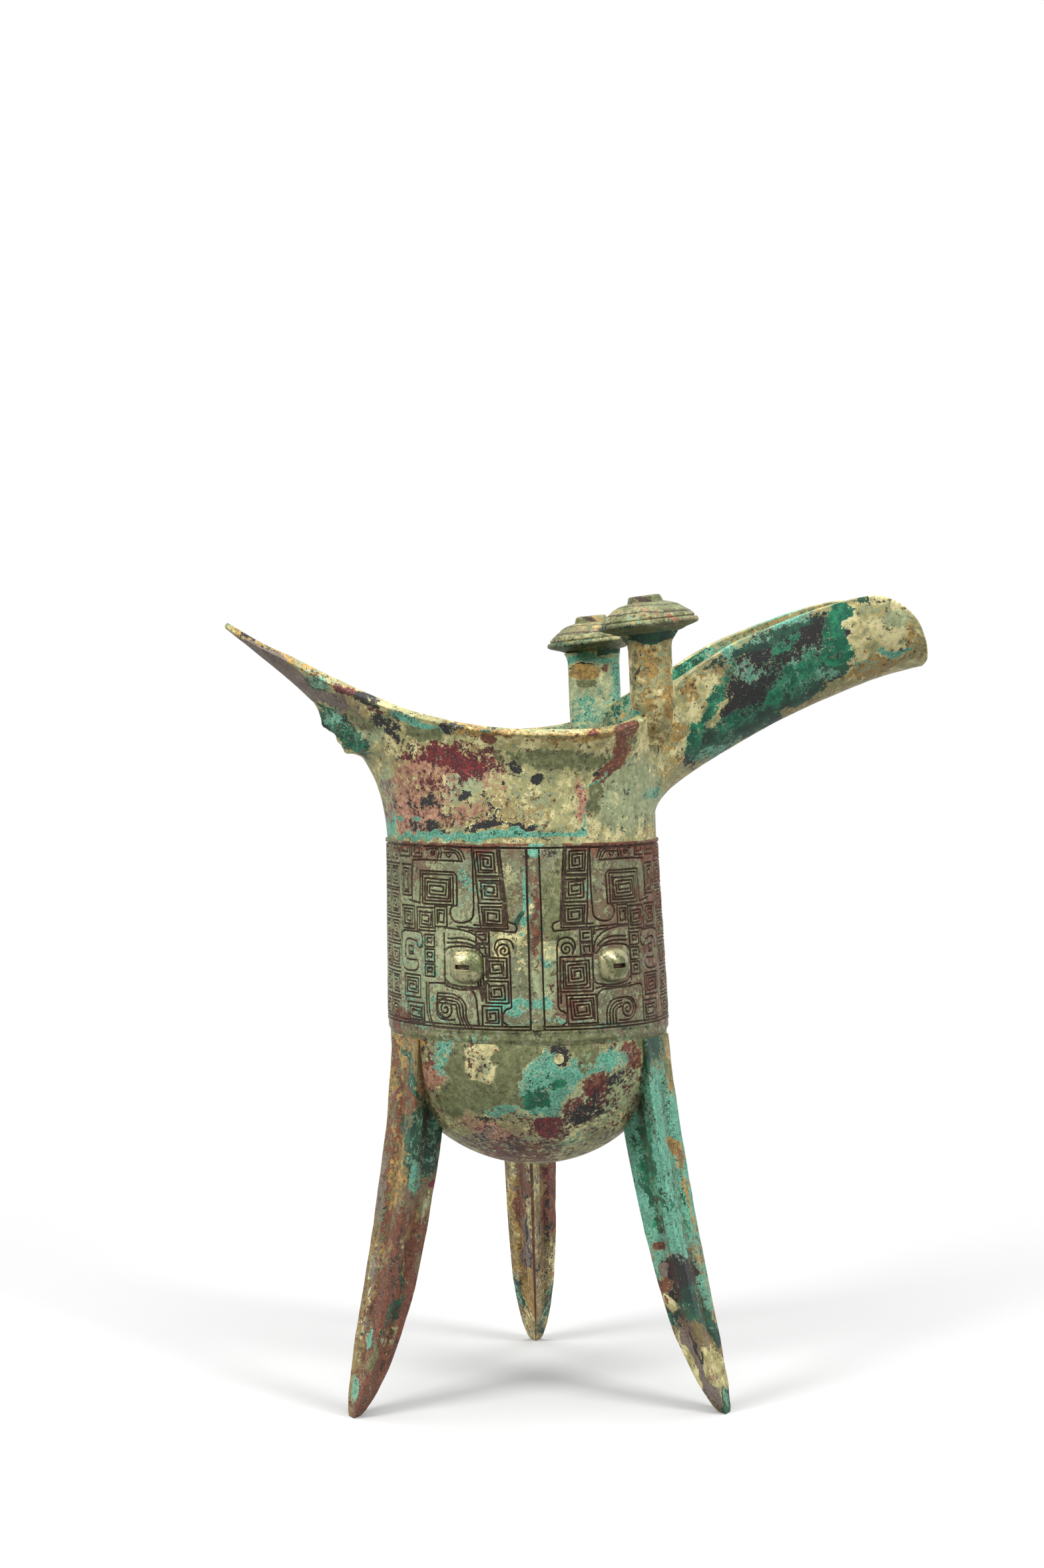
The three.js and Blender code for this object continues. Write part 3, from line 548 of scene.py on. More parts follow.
def right_half():
    """Grooves of the mask's spout side."""
    found = [
        # Double frame of the column of spirals beside the nose panel
        line((8.6, 47.2), (6.9, 29.8), (5.2, 29.2), (4.8, 28.3), (5.2, 27.3), (16.2, 28.1)),
        line((9.3, 47.2), (7.6, 28.7), (15.6, 28.9)),
        # Horn, a broad hook left plain
        curve((15.7, 47.2), (15.5, 40), (15.6, 32.6), (16.3, 30.3), (18.6, 29.4), (20.9, 29.7),
              (22.1, 31.3), (21.7, 33), (20.1, 33.5)),
        line((20.1, 33.5), (20, 40.2), (20.8, 41.1), (31.6, 41.2), (31.9, 33.6), (36.6, 34.2)),
        line((18.3, 43.7), (29.5, 43.8), (34.6, 43.6), (35, 34.4)),
        round_spiral(22.4, 45.3, 1.1, 1.2, 90),
        round_spiral(27.4, 45.5, 1.0, 1.2, 60),
        line((16.2, 28.1), (22.8, 28.4)),
        line((16.4, 27.3), (19.6, 27.6)),
        line((15.7, 26.2), (15.9, 28.1)),
        # Brow: a plain crescent with a long loop of grooves in it
        curve((15.4, 21.8), (16.1, 24.8), (18.4, 26.7), (22, 27.7), (26.6, 28)),
        curve((16.5, 23.4), (18.6, 25.0), (21.8, 25.6), (25.6, 25.4)),
        curve((17.2, 23.2), (19.4, 24.2), (22.2, 24.6), (25.8, 24.4)),
        curve((16, 21.6), (18.2, 23.3), (22, 23.7), (25.6, 23.2), (26.7, 22)),
        # Nostril curl, and the long line down from it beside the nose panel
        round_spiral(8.2, 22.9, 1.9, 1.7, -40),
        curve((9.7, 21.7), (10.5, 23.5), (9.8, 25.2), (8, 25.7), (6.3, 25), (5.8, 23.4)),
        line((5.8, 23.4), (5.5, 9.2), (6.1, 8.2), (7.3, 7.6), (7.7, 6.6), (7.3, 5.2), (6.4, 4.6)),
        line((6.5, 21), (6.3, 10)),
        # Round the eye
        curve((15.2, 22), (15, 18.5), (15.3, 15), (17.5, 14.1), (21, 13.9), (25, 14.4), (26.6, 15.6)),
        curve((15.6, 13.2), (18, 13.6), (22, 13.2), (26.4, 13.9)),
        line((26.8, 14.6), (26.8, 26.6)),
        # Ear, a plain ring broken on its inner side
        curve((31.2, 24.2), (31.8, 26.2), (34, 26.6), (39.6, 26.4), (40.4, 24), (40.4, 19.4),
              (39, 17.2), (34.6, 17), (33, 18.2), (33.6, 19.6)),
        curve((31.2, 24.2), (31.8, 22.9), (33.2, 23), (33.8, 24.2), (37.9, 24.4), (38.2, 20), (33.6, 19.6)),
        # Jaw, a plain hook round a round spiral
        curve((15.6, 4.5), (15.7, 9), (16, 11.6), (17.4, 12.8), (20, 13), (26, 13.2), (30.4, 13.4),
              (31, 11)),
        line((31, 11), (30.9, 5)),
        round_spiral(24.9, 7.8, 2.5, 2.0, 95, -1),
        curve((23, 10.6), (26.2, 10.4), (27.8, 8.6), (27.4, 6.4), (25.4, 5.1), (22, 5.1)),
    ]
    # Bundles of long grooves over the horn and in the jaw
    for x in PITCH * np.arange(3):
        found.append(curve((17.6 + x, 44.2), (18.6 + x, 46.1 - x / 3), (21 + x / 2, 47.2 - x),
                           (23.6, 47.2 - x)))
    for x in PITCH * np.arange(2):
        found.append(curve((24.7 + x, 44.3), (24.4 + x, 46), (26.2, 47.3 - x), (29.3, 47 - x)))
    for x in PITCH * np.arange(4):
        found.append(curve((18.2 + x * 1.15, 4.4), (18.5 + x * 1.1, 8 - x * 0.2),
                           (20.1 + x, 10.1 - x * 0.75), (23, 10.6 - x * 0.9)))
    for place in SPIRALS:
        found += square_spiral(*place)
    # Leaning spirals beside the nose panel, and between nose and jaw
    found += square_spiral(11.9, 43.6, 4.6, 4.8, 0, 0.1)
    found += square_spiral(11.2, 37.1, 5.0, 4.4, 2, 0.1)
    found += square_spiral(10.7, 31.1, 5.2, 4.4, 1, 0.1)
    found += square_spiral(10.6, 16.8, 7.0, 6.8, 3, 0.03)
    found += square_spiral(11.7, 8.3, 6.2, 5.2, 1, -0.03)
    # In the ear, and two columns out to the side
    found += square_spiral(35.9, 22, 2.2, 2.0, 0, framed=False)
    for h, near, far in zip(OUTER_HEIGHTS, (0, 2, 3, 1, 0, 2, 1), (2, 0, 1, 3, 2, 0, 3)):
        found += square_spiral(44.2, h, 4.4, 4.2, near)
        found += square_spiral(51.2, h, 5.4, 4.2, far, way=-1)
    return found


def left_half():
    """Grooves of the mask's tail side, the mirror of the other apart from its lower part."""
    found = []
    for groove in right_half():
        s, h = groove.mean(axis=0)
        nose_or_jaw = h < 21 and s < 31.2 and not (s > 14.6 and h > 12.4)
        if not nose_or_jaw:
            by_eye = 14 < s < 28 and 12.4 < h < 28.6
            found.append(groove * [-1, 1] + [3.7 if by_eye else 1.0, -0.3])
    found += [
        line((-5.8, 22.4), (-5.8, 9), (-7.2, 8.4), (-8, 7.2), (-8, 5.6), (-7, 4.8)),
        curve((-28.2, 14), (-25, 14.2), (-20, 13.8), (-16, 12.9), (-14.7, 11.2), (-14.3, 8), (-14, 4.6)),
        round_spiral(-23.1, 8, 2.7, 2.1, 85),
        curve((-25.4, 11.8), (-25.8, 7.6), (-25, 5.8), (-22.4, 5.4), (-20.4, 5.6)),
    ]
    found += square_spiral(-9.2, 18.4, 3.6, 3.2, 1)
    found += square_spiral(-9.2, 12.6, 4.0, 3.6, 3)
    found += square_spiral(-10.6, 6.8, 3.2, 3.2, 0)
    for x in PITCH * np.arange(3):
        found.append(curve((-12.6 - x, 20.6), (-12.6 - x, 16), (-12.5 - x / 2, 12), (-12.9, 10.4)))
    for x in PITCH * np.arange(4):
        found.append(curve((-15.8 - x * 1.2, 3.6 + x / 4), (-17.2 - x, 6 + x / 3), (-17.6 - x, 9.6 - x / 3),
                           (-20.6, 11.6 - x), (-25.4, 11.8 - x)))
    for x in PITCH * np.arange(2):
        found.append(curve((-28.3 - x, 14), (-28.3 - x, 8), (-27.6 - x, 5), (-26 - x, 3.6 - x / 3),
                           (-18, 3.4 - x / 3)))
    return found


def etch(grooves, s_line, h_line):
    """Distance from each grid point to the nearest groove's middle line."""
    first = np.array([s_line[0], h_line[0]])
    step = np.array([s_line[1], h_line[1]]) - first
    nearest = np.full((len(h_line), len(s_line)), GROOVE_REACH)
    for groove in grooves:
        for a, b in zip(groove[:-1], groove[1:]):
            i0, k0 = np.maximum(((np.minimum(a, b) - GROOVE_REACH - first) / step).astype(int), 0)
            i1, k1 = ((np.maximum(a, b) + GROOVE_REACH - first) / step).astype(int) + 2
            part = nearest[k0:max(k1, 0), i0:max(i1, 0)]
            if part.size == 0:
                continue
            s, h = np.meshgrid(s_line[i0:i1], h_line[k0:k1])
            along = b - a
            length = max(float(along @ along), 1e-9)
            t = np.clip(((s - a[0]) * along[0] + (h - a[1]) * along[1]) / length, 0, 1)
            gap = np.hypot(s - a[0] - t * along[0], h - a[1] - t * along[1])
            np.minimum(part, gap, out=part)
    return nearest


def band_radius(h):
    return BAND_LOW + (BAND_HIGH - BAND_LOW) * h / BAND_TALL


def band_profile(h):
    """The band's plain radius at a height: a bead at the top, a low frame below the ornament."""
    bead = np.sqrt(np.clip(1 - ((h - 48.0) / 0.6) ** 2, 0, 1)) * 0.16
    foot = -0.5 * smooth(1.3, 0.0, h)
    strip = -0.22 * (1 - smooth(2.5, 3.1, h))
    return band_radius(h) + bead + foot + strip


def make_band(name, middle, grooves):
    """One quarter of the band; middle is how far along from the mask its own middle lies."""
    s_line = middle + np.linspace(-0.5, 0.5, BAND_COLUMNS) * BAND_QUARTER
    h_line = np.linspace(0, BAND_TALL, BAND_ROWS)
    carve = 1 - smooth(GROOVE_HALF * 0.5, GROOVE_HALF * 1.5, etch(grooves, s_line, h_line))
    carve *= (smooth(*ORNAMENT_FOOT, h_line) * (1 - smooth(*ORNAMENT_TOP, h_line)))[:, None]
    around = np.radians(MASK_AZIMUTH) + s_line / BAND_ROUND
    cos, sin = np.cos(around)[None, :], np.sin(around)[None, :]
    place = grid(BAND_ROUND * cos, BAND_ROUND * sin, h_line[:, None])
    radius = band_profile(h_line)[:, None] - carve * GROOVE_DEEP
    radius = radius + waves(place.reshape(-1, 3), "band").reshape(radius.shape)
    outside = grid(radius * cos, radius * sin, BAND_FOOT + h_line[:, None])
    low = grid(BAND_INNER_LOW * cos, BAND_INNER_LOW * sin, BAND_FOOT)
    high = grid(BAND_INNER_HIGH * cos, BAND_INNER_HIGH * sin, BAND_TOP)
    rings = np.concatenate([outside, *(high + (low - high) * t for t in np.linspace(0, 1, 12))])
    rows = len(rings)
    first = np.arange(rows) * BAND_COLUMNS
    ends = [first, (first + BAND_COLUMNS - 1)[::-1]]
    faces = grid_faces(rows, BAND_COLUMNS, True, False)
    piece = mesh_piece(name, rings.reshape(-1, 3), faces, "ornament_band", BAND, ends)
    depth = np.concatenate([carve.ravel(), np.zeros((rows - BAND_ROWS) * BAND_COLUMNS)])
    paint(piece, BAND_REAR, BAND_FRONT, BAND_SPOTS, depth)


def make_bands():
    grooves = right_half() + left_half()
    for groove in grooves:
        groove[:, 1] += 0.6 * smooth(30, 47, groove[:, 1])
    # Long lines above and below, and those on each side of the ridge, whose darkened grooves also paint
    # shade along the ridge's flanks
    grooves += [line((-56, h), (56, h)) for h in (4.4, 3.6, 47.3)]
    # The grooves beside the ridge are darkened as painted shade of its flanks
    grooves += [line((s, 3.6), (top, 47.2)) for s, top in ((-1.3, -0.95), (-1.15, -0.75), (2.0, 2.3))]
    half = BAND_QUARTER * 2
    again = grooves + [groove + [way * half, 0] for way in (1, -1) for groove in grooves]
    for name, quarter in (("front", 0), ("spout_side", 1), ("rear", 2), ("tail_side", -1)):
        make_band("band_" + name, quarter * BAND_QUARTER, again)


# Eyes, ridge and spacers

EYE_MIDDLE = -95.2
EYE_ANGLE = 30.7
EYE_HEIGHT = 18.7
EYE_WIDTH = 8.6
EYE_TALL = 8.0
EYE_PROUD = 2.5
EYE_SQUARE = 0.62  # power that rounds the outline: 1 is an ellipse, near 0 a square
EYE_SEAT = BAND_LOW - 0.45
EYE_SUNK = 1.2  # how far its hidden foot reaches into the band
EYE_RINGS = 44
EYE_SEGMENTS = 112
SLOT_HALF_LONG = (1.95, 1.6)  # where the slot across it starts and is full depth
SLOT_HALF_TALL = (0.62, 0.36)
SLOT_BELOW = 0.1


def make_eye(name, azimuth, node):
    """A boss with a rounded square outline and a slot across it."""
    angle = np.linspace(0, 2 * math.pi, EYE_SEGMENTS, endpoint=False)
    cos, sin = np.cos(angle), np.sin(angle)
    share = np.linspace(1, 0.012, EYE_RINGS)[:, None]
    y = share * (np.sign(cos) * np.abs(cos) ** EYE_SQUARE * EYE_WIDTH / 2)
    z = share * (np.sign(sin) * np.abs(sin) ** EYE_SQUARE * EYE_TALL / 2)
    slot = smooth(*SLOT_HALF_LONG, np.abs(y)) * smooth(*SLOT_HALF_TALL, np.abs(z + SLOT_BELOW))
    x = EYE_PROUD * np.clip(1 - share**2.3, 0, 1) ** 0.56 - slot
    x = np.vstack([np.full((1, EYE_SEGMENTS), -EYE_SUNK), x])
    y, z = np.vstack([y[:1], y]), np.vstack([z[:1], z])
    sink = EYE_SEAT * (1 - np.cos(y / EYE_SEAT))
    points = grid(EYE_SEAT + 0.05 + x - sink * 0.75, y, BAND_FOOT + EYE_HEIGHT + z)
    flat, faces, ends = closed_loft(at_azimuth(points, azimuth))
    flat += waves(flat, "eye")[:, None]
    piece = mesh_piece(name, flat, faces, node, WORN, ends)
    paint(piece, {}, EYE_FRONT, EYE_SPOTS, np.concatenate([np.zeros(EYE_SEGMENTS), slot.ravel()]))


RIDGE_FOOT, RIDGE_TOP = 3.6, 46.4
RIDGE_SECTION = np.array([
    (-1.3, -1), (-1.3, -0.1), (-1.0, 0.1), (-0.75, 0.55), (-0.5, 0.66),
    (0.5, 0.66), (0.75, 0.55), (1.0, 0.1), (1.3, -0.1), (1.3, -1),
])


def make_ridge():
    """The low ridge down the mask's middle, which leans a little towards the spout."""
    h = np.linspace(RIDGE_FOOT, RIDGE_TOP, 120)[:, None]
    s = 0.45 + (h - 22) * 0.012
    taper = smooth(RIDGE_FOOT, RIDGE_FOOT + 1.5, h) * smooth(RIDGE_TOP, RIDGE_TOP - 1.0, h)
    out = band_radius(h) + RIDGE_SECTION[:, 1] * (0.4 + 0.6 * taper)
    around = np.radians(MASK_AZIMUTH) + (s + RIDGE_SECTION[:, 0]) / BAND_ROUND
    flat, faces, ends = closed_loft(grid(out * np.cos(around), out * np.sin(around), BAND_FOOT + h))
    flat += waves(flat, "ridge")[:, None]
    piece = mesh_piece("mask_middle_ridge", flat, faces, "mask_ridge", BAND, ends)
    paint(piece, BAND_REAR, BAND_FRONT, BAND_SPOTS)


SPACER_RADIUS = 1.3
SPACER_DEEP = 0.6
SPACER_PROUD = 0.14
SPACER_BELOW_BAND = 3.4


def make_spacer(name, azimuth, node):
    """A round plug with a slightly domed face, let into the bowl's wall."""
    angle = np.linspace(0, math.pi / 2, 10)
    dome = np.stack([np.maximum(SPACER_RADIUS * np.cos(angle), 0.01), SPACER_PROUD * np.sin(angle)], axis=1)
    rings = turned(np.vstack([[(SPACER_RADIUS, -SPACER_DEEP)], dome]), 40)
    height = BAND_FOOT - SPACER_BELOW_BAND
    points = grid(BOWL_RADIUS - 0.02 + rings[..., 2], -rings[..., 1], height + rings[..., 0])
    flat, faces, ends = closed_loft(at_azimuth(points, azimuth))
    piece = mesh_piece(name, flat, faces, node, WORN, ends)
    paint(piece, {}, {"cream": 0.6})


# Mouth, spout and tail: one sheet

# Rim stations along one side from the tail's tip to the spout's lip, as in the CAD model: along
# the spout, half width and height above the band at the rim; the angle from the tail at which the
# line leaves the neck; the rise of its first handle; and its second handle as such a point.
RIM = np.array([
    (-73.6, 0, 53, 0, 20.6, -45, 0, 29.2),
    (-67, 3.2, 48.6, 3, 20.4, -44, 2, 29),
    (-60, 6.2, 44.9, 7, 20, -42.5, 4.4, 28.6),
    (-50, 11, 39.3, 14, 18, -39.5, 9, 27.2),
    (-40, 17, 34.4, 25, 15.8, -35.5, 14, 24.8),
    (-30, 24, 30.6, 38, 13.6, -29, 20.5, 22.1),
    (-20, 31, 28, 54, 11.3, -20, 26, 19.6),
    (-10, 36, 26.7, 71, 9.7, -10, 30.4, 18.1),
    (0, 38.5, 26.2, 88, 8.1, 0, 32.2, 17.6),
    (10, 38, 26.4, 105, 7.3, 9.5, 32, 17.6),
    (20, 34.3, 27.8, 121, 6.4, 18.5, 29, 18.6),
    (27, 29, 30.6, 134, 5.6, 25.5, 25, 21.1),
    (32.5, 21.5, 34.4, 144, 5, 30.5, 19, 23.6),
    (37.5, 16, 38.4, 150, 4.6, 34.5, 15.4, 26.6),
    (43.5, 14.4, 43, 153.5, 5.2, 39, 14.6, 29.6),
    (54, 14, 49.4, 157, 6, 47, 14.2, 35.6),
    (66, 14, 54.4, 160.5, 6.7, 55, 14.2, 39.6),
    (79, 13.8, 59, 163.5, 6.9, 63, 14.2, 43.6),
    (91, 13.5, 61.8, 166, 6.6, 71, 14.2, 47.1),
    (98, 13.2, 60.4, 168.5, 6.2, 76, 13.9, 47.1),
    (103.8, 12, 56.2, 171.3, 6, 78.5, 12.4, 44.2),
    (107.2, 9.4, 50.6, 174.2, 5.4, 79, 9.6, 41.2),
    (109, 5.2, 46.1, 177.2, 4.5, 78.6, 5.2, 38.8),
    (109.6, 0, 44.3, 180, 3.6, 78, 0, 38),
])
NECK_SHARE = 1 / 11
NECK_STRAIGHT = 8.0
EDGE_ROUND = 0.5  # radius of the rim's two edges
EDGE_ANGLES = (0, 25, 45, 65, 90)
EDGE_DROP = 0.7  # how far below the rim the last row of each skin ends
RIM_STEPS = 9  # between two stations
NECK_ROWS = 4
SKIN_ROWS = 84
TIP_THIN = 0.55  # the wall at the tail's tip as a share of the whole, which it reaches this far on
TIP_LONG = 26.0
# Ellipses in the front view of the lump and the knob on it, and their heights
LUMP = (-45.2, 167.6, 10.5, 4.2, -35)
LUMP_HIGH = 2.3
KNOB = (-48.1, 166.3, 2.2, 2.2)
KNOB_HIGH = 1.3
# The soft ridge: across at its top and how far in it runs, half width, height, where it fades
SOFT_RIDGE_AT = 37.2
SOFT_RIDGE_IN = 5.2
SOFT_RIDGE_HALF = 1.5
SOFT_RIDGE_HIGH = 0.9
SOFT_RIDGE_LOW_END = (149, 158)
SOFT_RIDGE_TOP_END = (182, 176)


def rim_values(steps):
    """Station values at even places along the rim, and which side each lies on, all round."""
    last = len(RIM) - 1
    places = np.linspace(0, last, last * steps + 1)
    cell = np.minimum(places.astype(int), last - 1)
    t = (places - cell)[:, None]
    a, b = RIM[np.maximum(cell - 1, 0)], RIM[cell]
    c, d = RIM[cell + 1], RIM[np.minimum(cell + 2, last)]
    into, out = (c - a) / 2, (d - b) / 2
    held = (2 * t**3 - 3 * t**2 + 1) * b + (t**3 - 2 * t**2 + t) * into
    values = held + (3 * t**2 - 2 * t**3) * c + (t**3 - t**2) * out
    both = np.vstack([values[:-1], values[:0:-1]])
    side = np.repeat([-1.0, 1.0], len(values) - 1)
    return both, side


def skin_rows(values, side, shares):
    """The outer skin: a row of points for each share of the way up from the neck."""
    turn = np.radians(values[:, 3])
    out = grid(-np.cos(turn), side * np.sin(turn), 0)
    straight = NECK_STRAIGHT * (turn / math.pi) ** 2
    across = grid(1, side, 1)
    end = values[:, :3] * across + [0, 0, BAND_TOP]
    near = values[:, 5:8] * across + [0, 0, BAND_TOP]
    rows = []
    for share in shares:
        foot = out * NECK_RADIUS
        foot[:, 2] = BAND_TOP + straight * min(share / NECK_SHARE, 1)
        t = max((share - NECK_SHARE) / (1 - NECK_SHARE), 0)
        first = out * (NECK_RADIUS + 1)
        first[:, 2] = foot[:, 2] + values[:, 4]
        low = (1 - t) ** 3 * foot + 3 * t * (1 - t) ** 2 * first
        rows.append(low + 3 * t**2 * (1 - t) * near + t**3 * end)
    return np.array(rows)


def lip_edge(outer, inner, rise):
    """Rows over the rim from the outer skin to the inner one."""
    inward = unit(inner - outer)
    angles = np.radians(EDGE_ANGLES)
    soft = [(EDGE_ROUND * (1 - math.cos(a)), EDGE_ROUND * (1 - math.sin(a))) for a in angles]
    edge = [outer + inward * away - rise * down for away, down in soft]
    edge += [outer + (inner - outer) * t for t in (0.35, 0.5, 0.65)]
    return edge + [inner - inward * away - rise * down for away, down in soft[::-1]]


def lip_relief(flat, near_side):
    """Height of the casting waves, of the encrusted lump under the tail with a knob on it, and of
    the soft ridge below the front post."""
    u, w = front_view(to_frame(flat))
    lump = 1 - smooth(0.45, 1.1, ellipse(u, w, *LUMP))
    knob = 1 - smooth(0.2, 1.0, ellipse(u, w, *KNOB))
    middle = SOFT_RIDGE_AT - SOFT_RIDGE_IN * smooth(178, 151, w)
    ridge = np.exp(-(((u - middle) / SOFT_RIDGE_HALF) ** 2))
    ridge *= smooth(*SOFT_RIDGE_LOW_END, w) * smooth(*SOFT_RIDGE_TOP_END, w)
    raised = lump * (LUMP_HIGH + waves(flat, "lump")) + knob * KNOB_HIGH + ridge * SOFT_RIDGE_HIGH
    return waves(flat, "lip") + near_side * raised


def make_lip():
    values, side = rim_values(RIM_STEPS)
    neck = np.linspace(0, NECK_SHARE, NECK_ROWS, endpoint=False)
    shares = np.concatenate([neck, np.linspace(NECK_SHARE, 1, SKIN_ROWS)])
    outer = skin_rows(values, side, shares)
    normal = np.cross(np.roll(outer, -1, axis=1) - np.roll(outer, 1, axis=1), np.gradient(outer, axis=0))
    normal[0, :, 2] = 0
    normal = unit(normal)
    from_tip = values[:, 0] - RIM[0][0]
    thick = LIP_WALL * np.minimum(1, TIP_THIN + (1 - TIP_THIN) * from_tip / TIP_LONG)
    inner = outer - normal * thick[None, :, None]
    inner[:, :, 1] = side * np.maximum(inner[:, :, 1] * side, 0.02)
    rise = unit(outer[-1] - outer[-3])
    edge = lip_edge(outer[-1], inner[-1], rise)
    outer[-1] -= rise * EDGE_DROP
    inner[-1] -= rise * EDGE_DROP
    sparse = np.concatenate([inner[::-1][::2], inner[:1]])
    rings = np.concatenate([outer, edge, sparse])
    rows, columns = rings.shape[:2]
    flat = rings.reshape(-1, 3)
    skin = np.repeat(np.arange(rows) < len(outer) + len(edge), columns).astype(float)
    out = np.concatenate([normal, np.repeat(rise[None], len(edge), axis=0), 0 * sparse]).reshape(-1, 3)
    flat = flat + out * lip_relief(flat, (flat[:, 1] < 0) * skin)[:, None]
    faces = grid_faces(rows, columns, True, True)
    piece = mesh_piece("lip_sheet", flat, faces, "mouth", PALE)
    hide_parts("mouth", "spout", "tail")
    paint(piece, LIP_REAR, LIP_FRONT, LIP_SPOTS, outside=skin)


# Legs

LEGS = (
    ("leg_tail_side", -162.8, 1.3),
    ("leg_spout_side", -37.2, -1.5),
    ("leg_handle_side", 80.0, 0.0),
)
LEG_TOP = 91.7
LEG_LINE = np.array([
    # Share of the way up, how far its middle stands out from the bowl, and its width
    (0, 16.2, 3),
    (0.013, 15.6, 4.6),
    (0.055, 14, 7.3),
    (0.109, 12.1, 9.4),
    (0.196, 9.6, 11.8),
    (0.273, 7.6, 12.8),
    (0.338, 6.1, 13.5),
    (0.48, 3, 14.4),
    (0.622, 0.6, 14.8),
    (0.763, -1.7, 15),
    (0.916, -3.3, 15),
    (1, -3.9, 15),
])
LEG_ROWS = 300
FACE_PLACES = np.linspace(0.045, 0.955, 25)  # of the columns of points across a face
SPLAY_END = 0.785  # share of the way up at which the splay ends
LEG_GROOVE = 0.95  # depth of the broad groove down each face
GROOVE_SIDES = (0.33, 0.385)  # where across the face it starts and is full depth
GROOVE_FROM_FOOT, GROOVE_GROWS = 7.0, 12.0  # where it starts and over how long it deepens
GROOVE_FROM_TOP, GROOVE_SHRINKS = 7.7, 5.0
LEG_HOLLOW = 0.012  # how hollow the faces are, as a share of their width
# How dark the legs' carving is: dirt and painted shade in the broad grooves, painted shade on the edge
LEG_DIRT_AND_SHADE = 0.35
EDGE_SHADE = 2.3  # painted shade: a dark line along the front edge of the leg at the back


def eased(values):
    """Values smoothed over nine neighbours, apart from those near the ends."""
    held = values.copy()
    held[6:-6] = np.convolve(values, np.ones(9) / 9, "same")[6:-6]
    return held


def make_leg(node, azimuth, splay):
    share = np.linspace(0, 1, LEG_ROWS)
    z = share * LEG_TOP
    along, out, wide = LEG_LINE.T
    reach = eased(BOWL_RADIUS + np.interp(share, along, out) + splay * np.maximum(1 - share / SPLAY_END, 0))
    side = eased(np.interp(share, along, wide))
    grows = (z - GROOVE_FROM_FOOT) / GROOVE_GROWS
    opened = np.clip(np.minimum(grows, (LEG_TOP - GROOVE_FROM_TOP - z) / GROOVE_SHRINKS), 0, 1)
    groove = smooth(*GROOVE_SIDES, np.minimum(FACE_PLACES, 1 - FACE_PLACES))
    columns = []
    depth = []
    for k in range(3):
        start = math.pi + k * 2 * math.pi / 3
        end = start + 2 * math.pi / 3
        a = np.array([math.cos(start), math.sin(start)]) / math.sqrt(3)
        b = np.array([math.cos(end), math.sin(end)]) / math.sqrt(3)
        inward = -unit(a + b)
        for t, deep in zip(FACE_PLACES, groove):
            y_share = a + (b - a) * t
            sunk = opened * deep * LEG_GROOVE + side * (LEG_HOLLOW * math.sin(math.pi * t))
            x = reach + side * y_share[0] + inward[0] * sunk
            y = side * y_share[1] + inward[1] * sunk
            columns.append(np.stack([x, y, z], axis=1))
            front_edge = (k == 0 and t < 0.06) or (k == 2 and t > 0.94)
            # The front edge of the leg at the back gets a painted dark line of shade
            depth.append(opened * deep + EDGE_SHADE * (front_edge and node == "leg_handle_side"))
    rings = np.stack(columns, axis=1)
    carve = np.stack(depth, axis=1).ravel() * LEG_DIRT_AND_SHADE
    flat, faces, ends = closed_loft(at_azimuth(rings, azimuth))
    middle = grid(reach, 0, z)[:, None, :]
    away = at_azimuth(unit((rings - middle) * [1, 1, 0]), azimuth).reshape(-1, 3)
    flat = flat + away * (waves(flat, "leg") * smooth(0, 4, flat[:, 2]))[:, None]
    name = node.replace("leg", "blade_leg")
    piece = mesh_piece(name, flat, faces, node, LEG, ends)
    paint(piece, LEG_REAR, LEG_FRONT[node], LEG_SPOTS[node], carve)


# Posts and caps

POST_OUT = 26.4
POST_FOOT = 24.6
POST_ROOT = 9.0
POST_NARROW = 8.2
POST_DEEP = 8.4
POSTS = (
    # Which one, its side of the cup, place along the spout, width, top above the band, cap's shift
    ("front", -1, 28.6, 10.3, 51.2, 0.0),
    ("rear", 1, 26.1, 14.4, 48.6, 1.2),
)
COLLAR_RADIUS = 7.9
CAP_HEIGHT = 9.3
CAP_TILT = math.radians(6.5)
CAP_LINES = (10.4, 7.7, 4.6)  # radii of the cap's ring lines, their half width and how dark they are
CAP_LINE_HALF = 0.32
CAP_LINE_DARK = 0.62


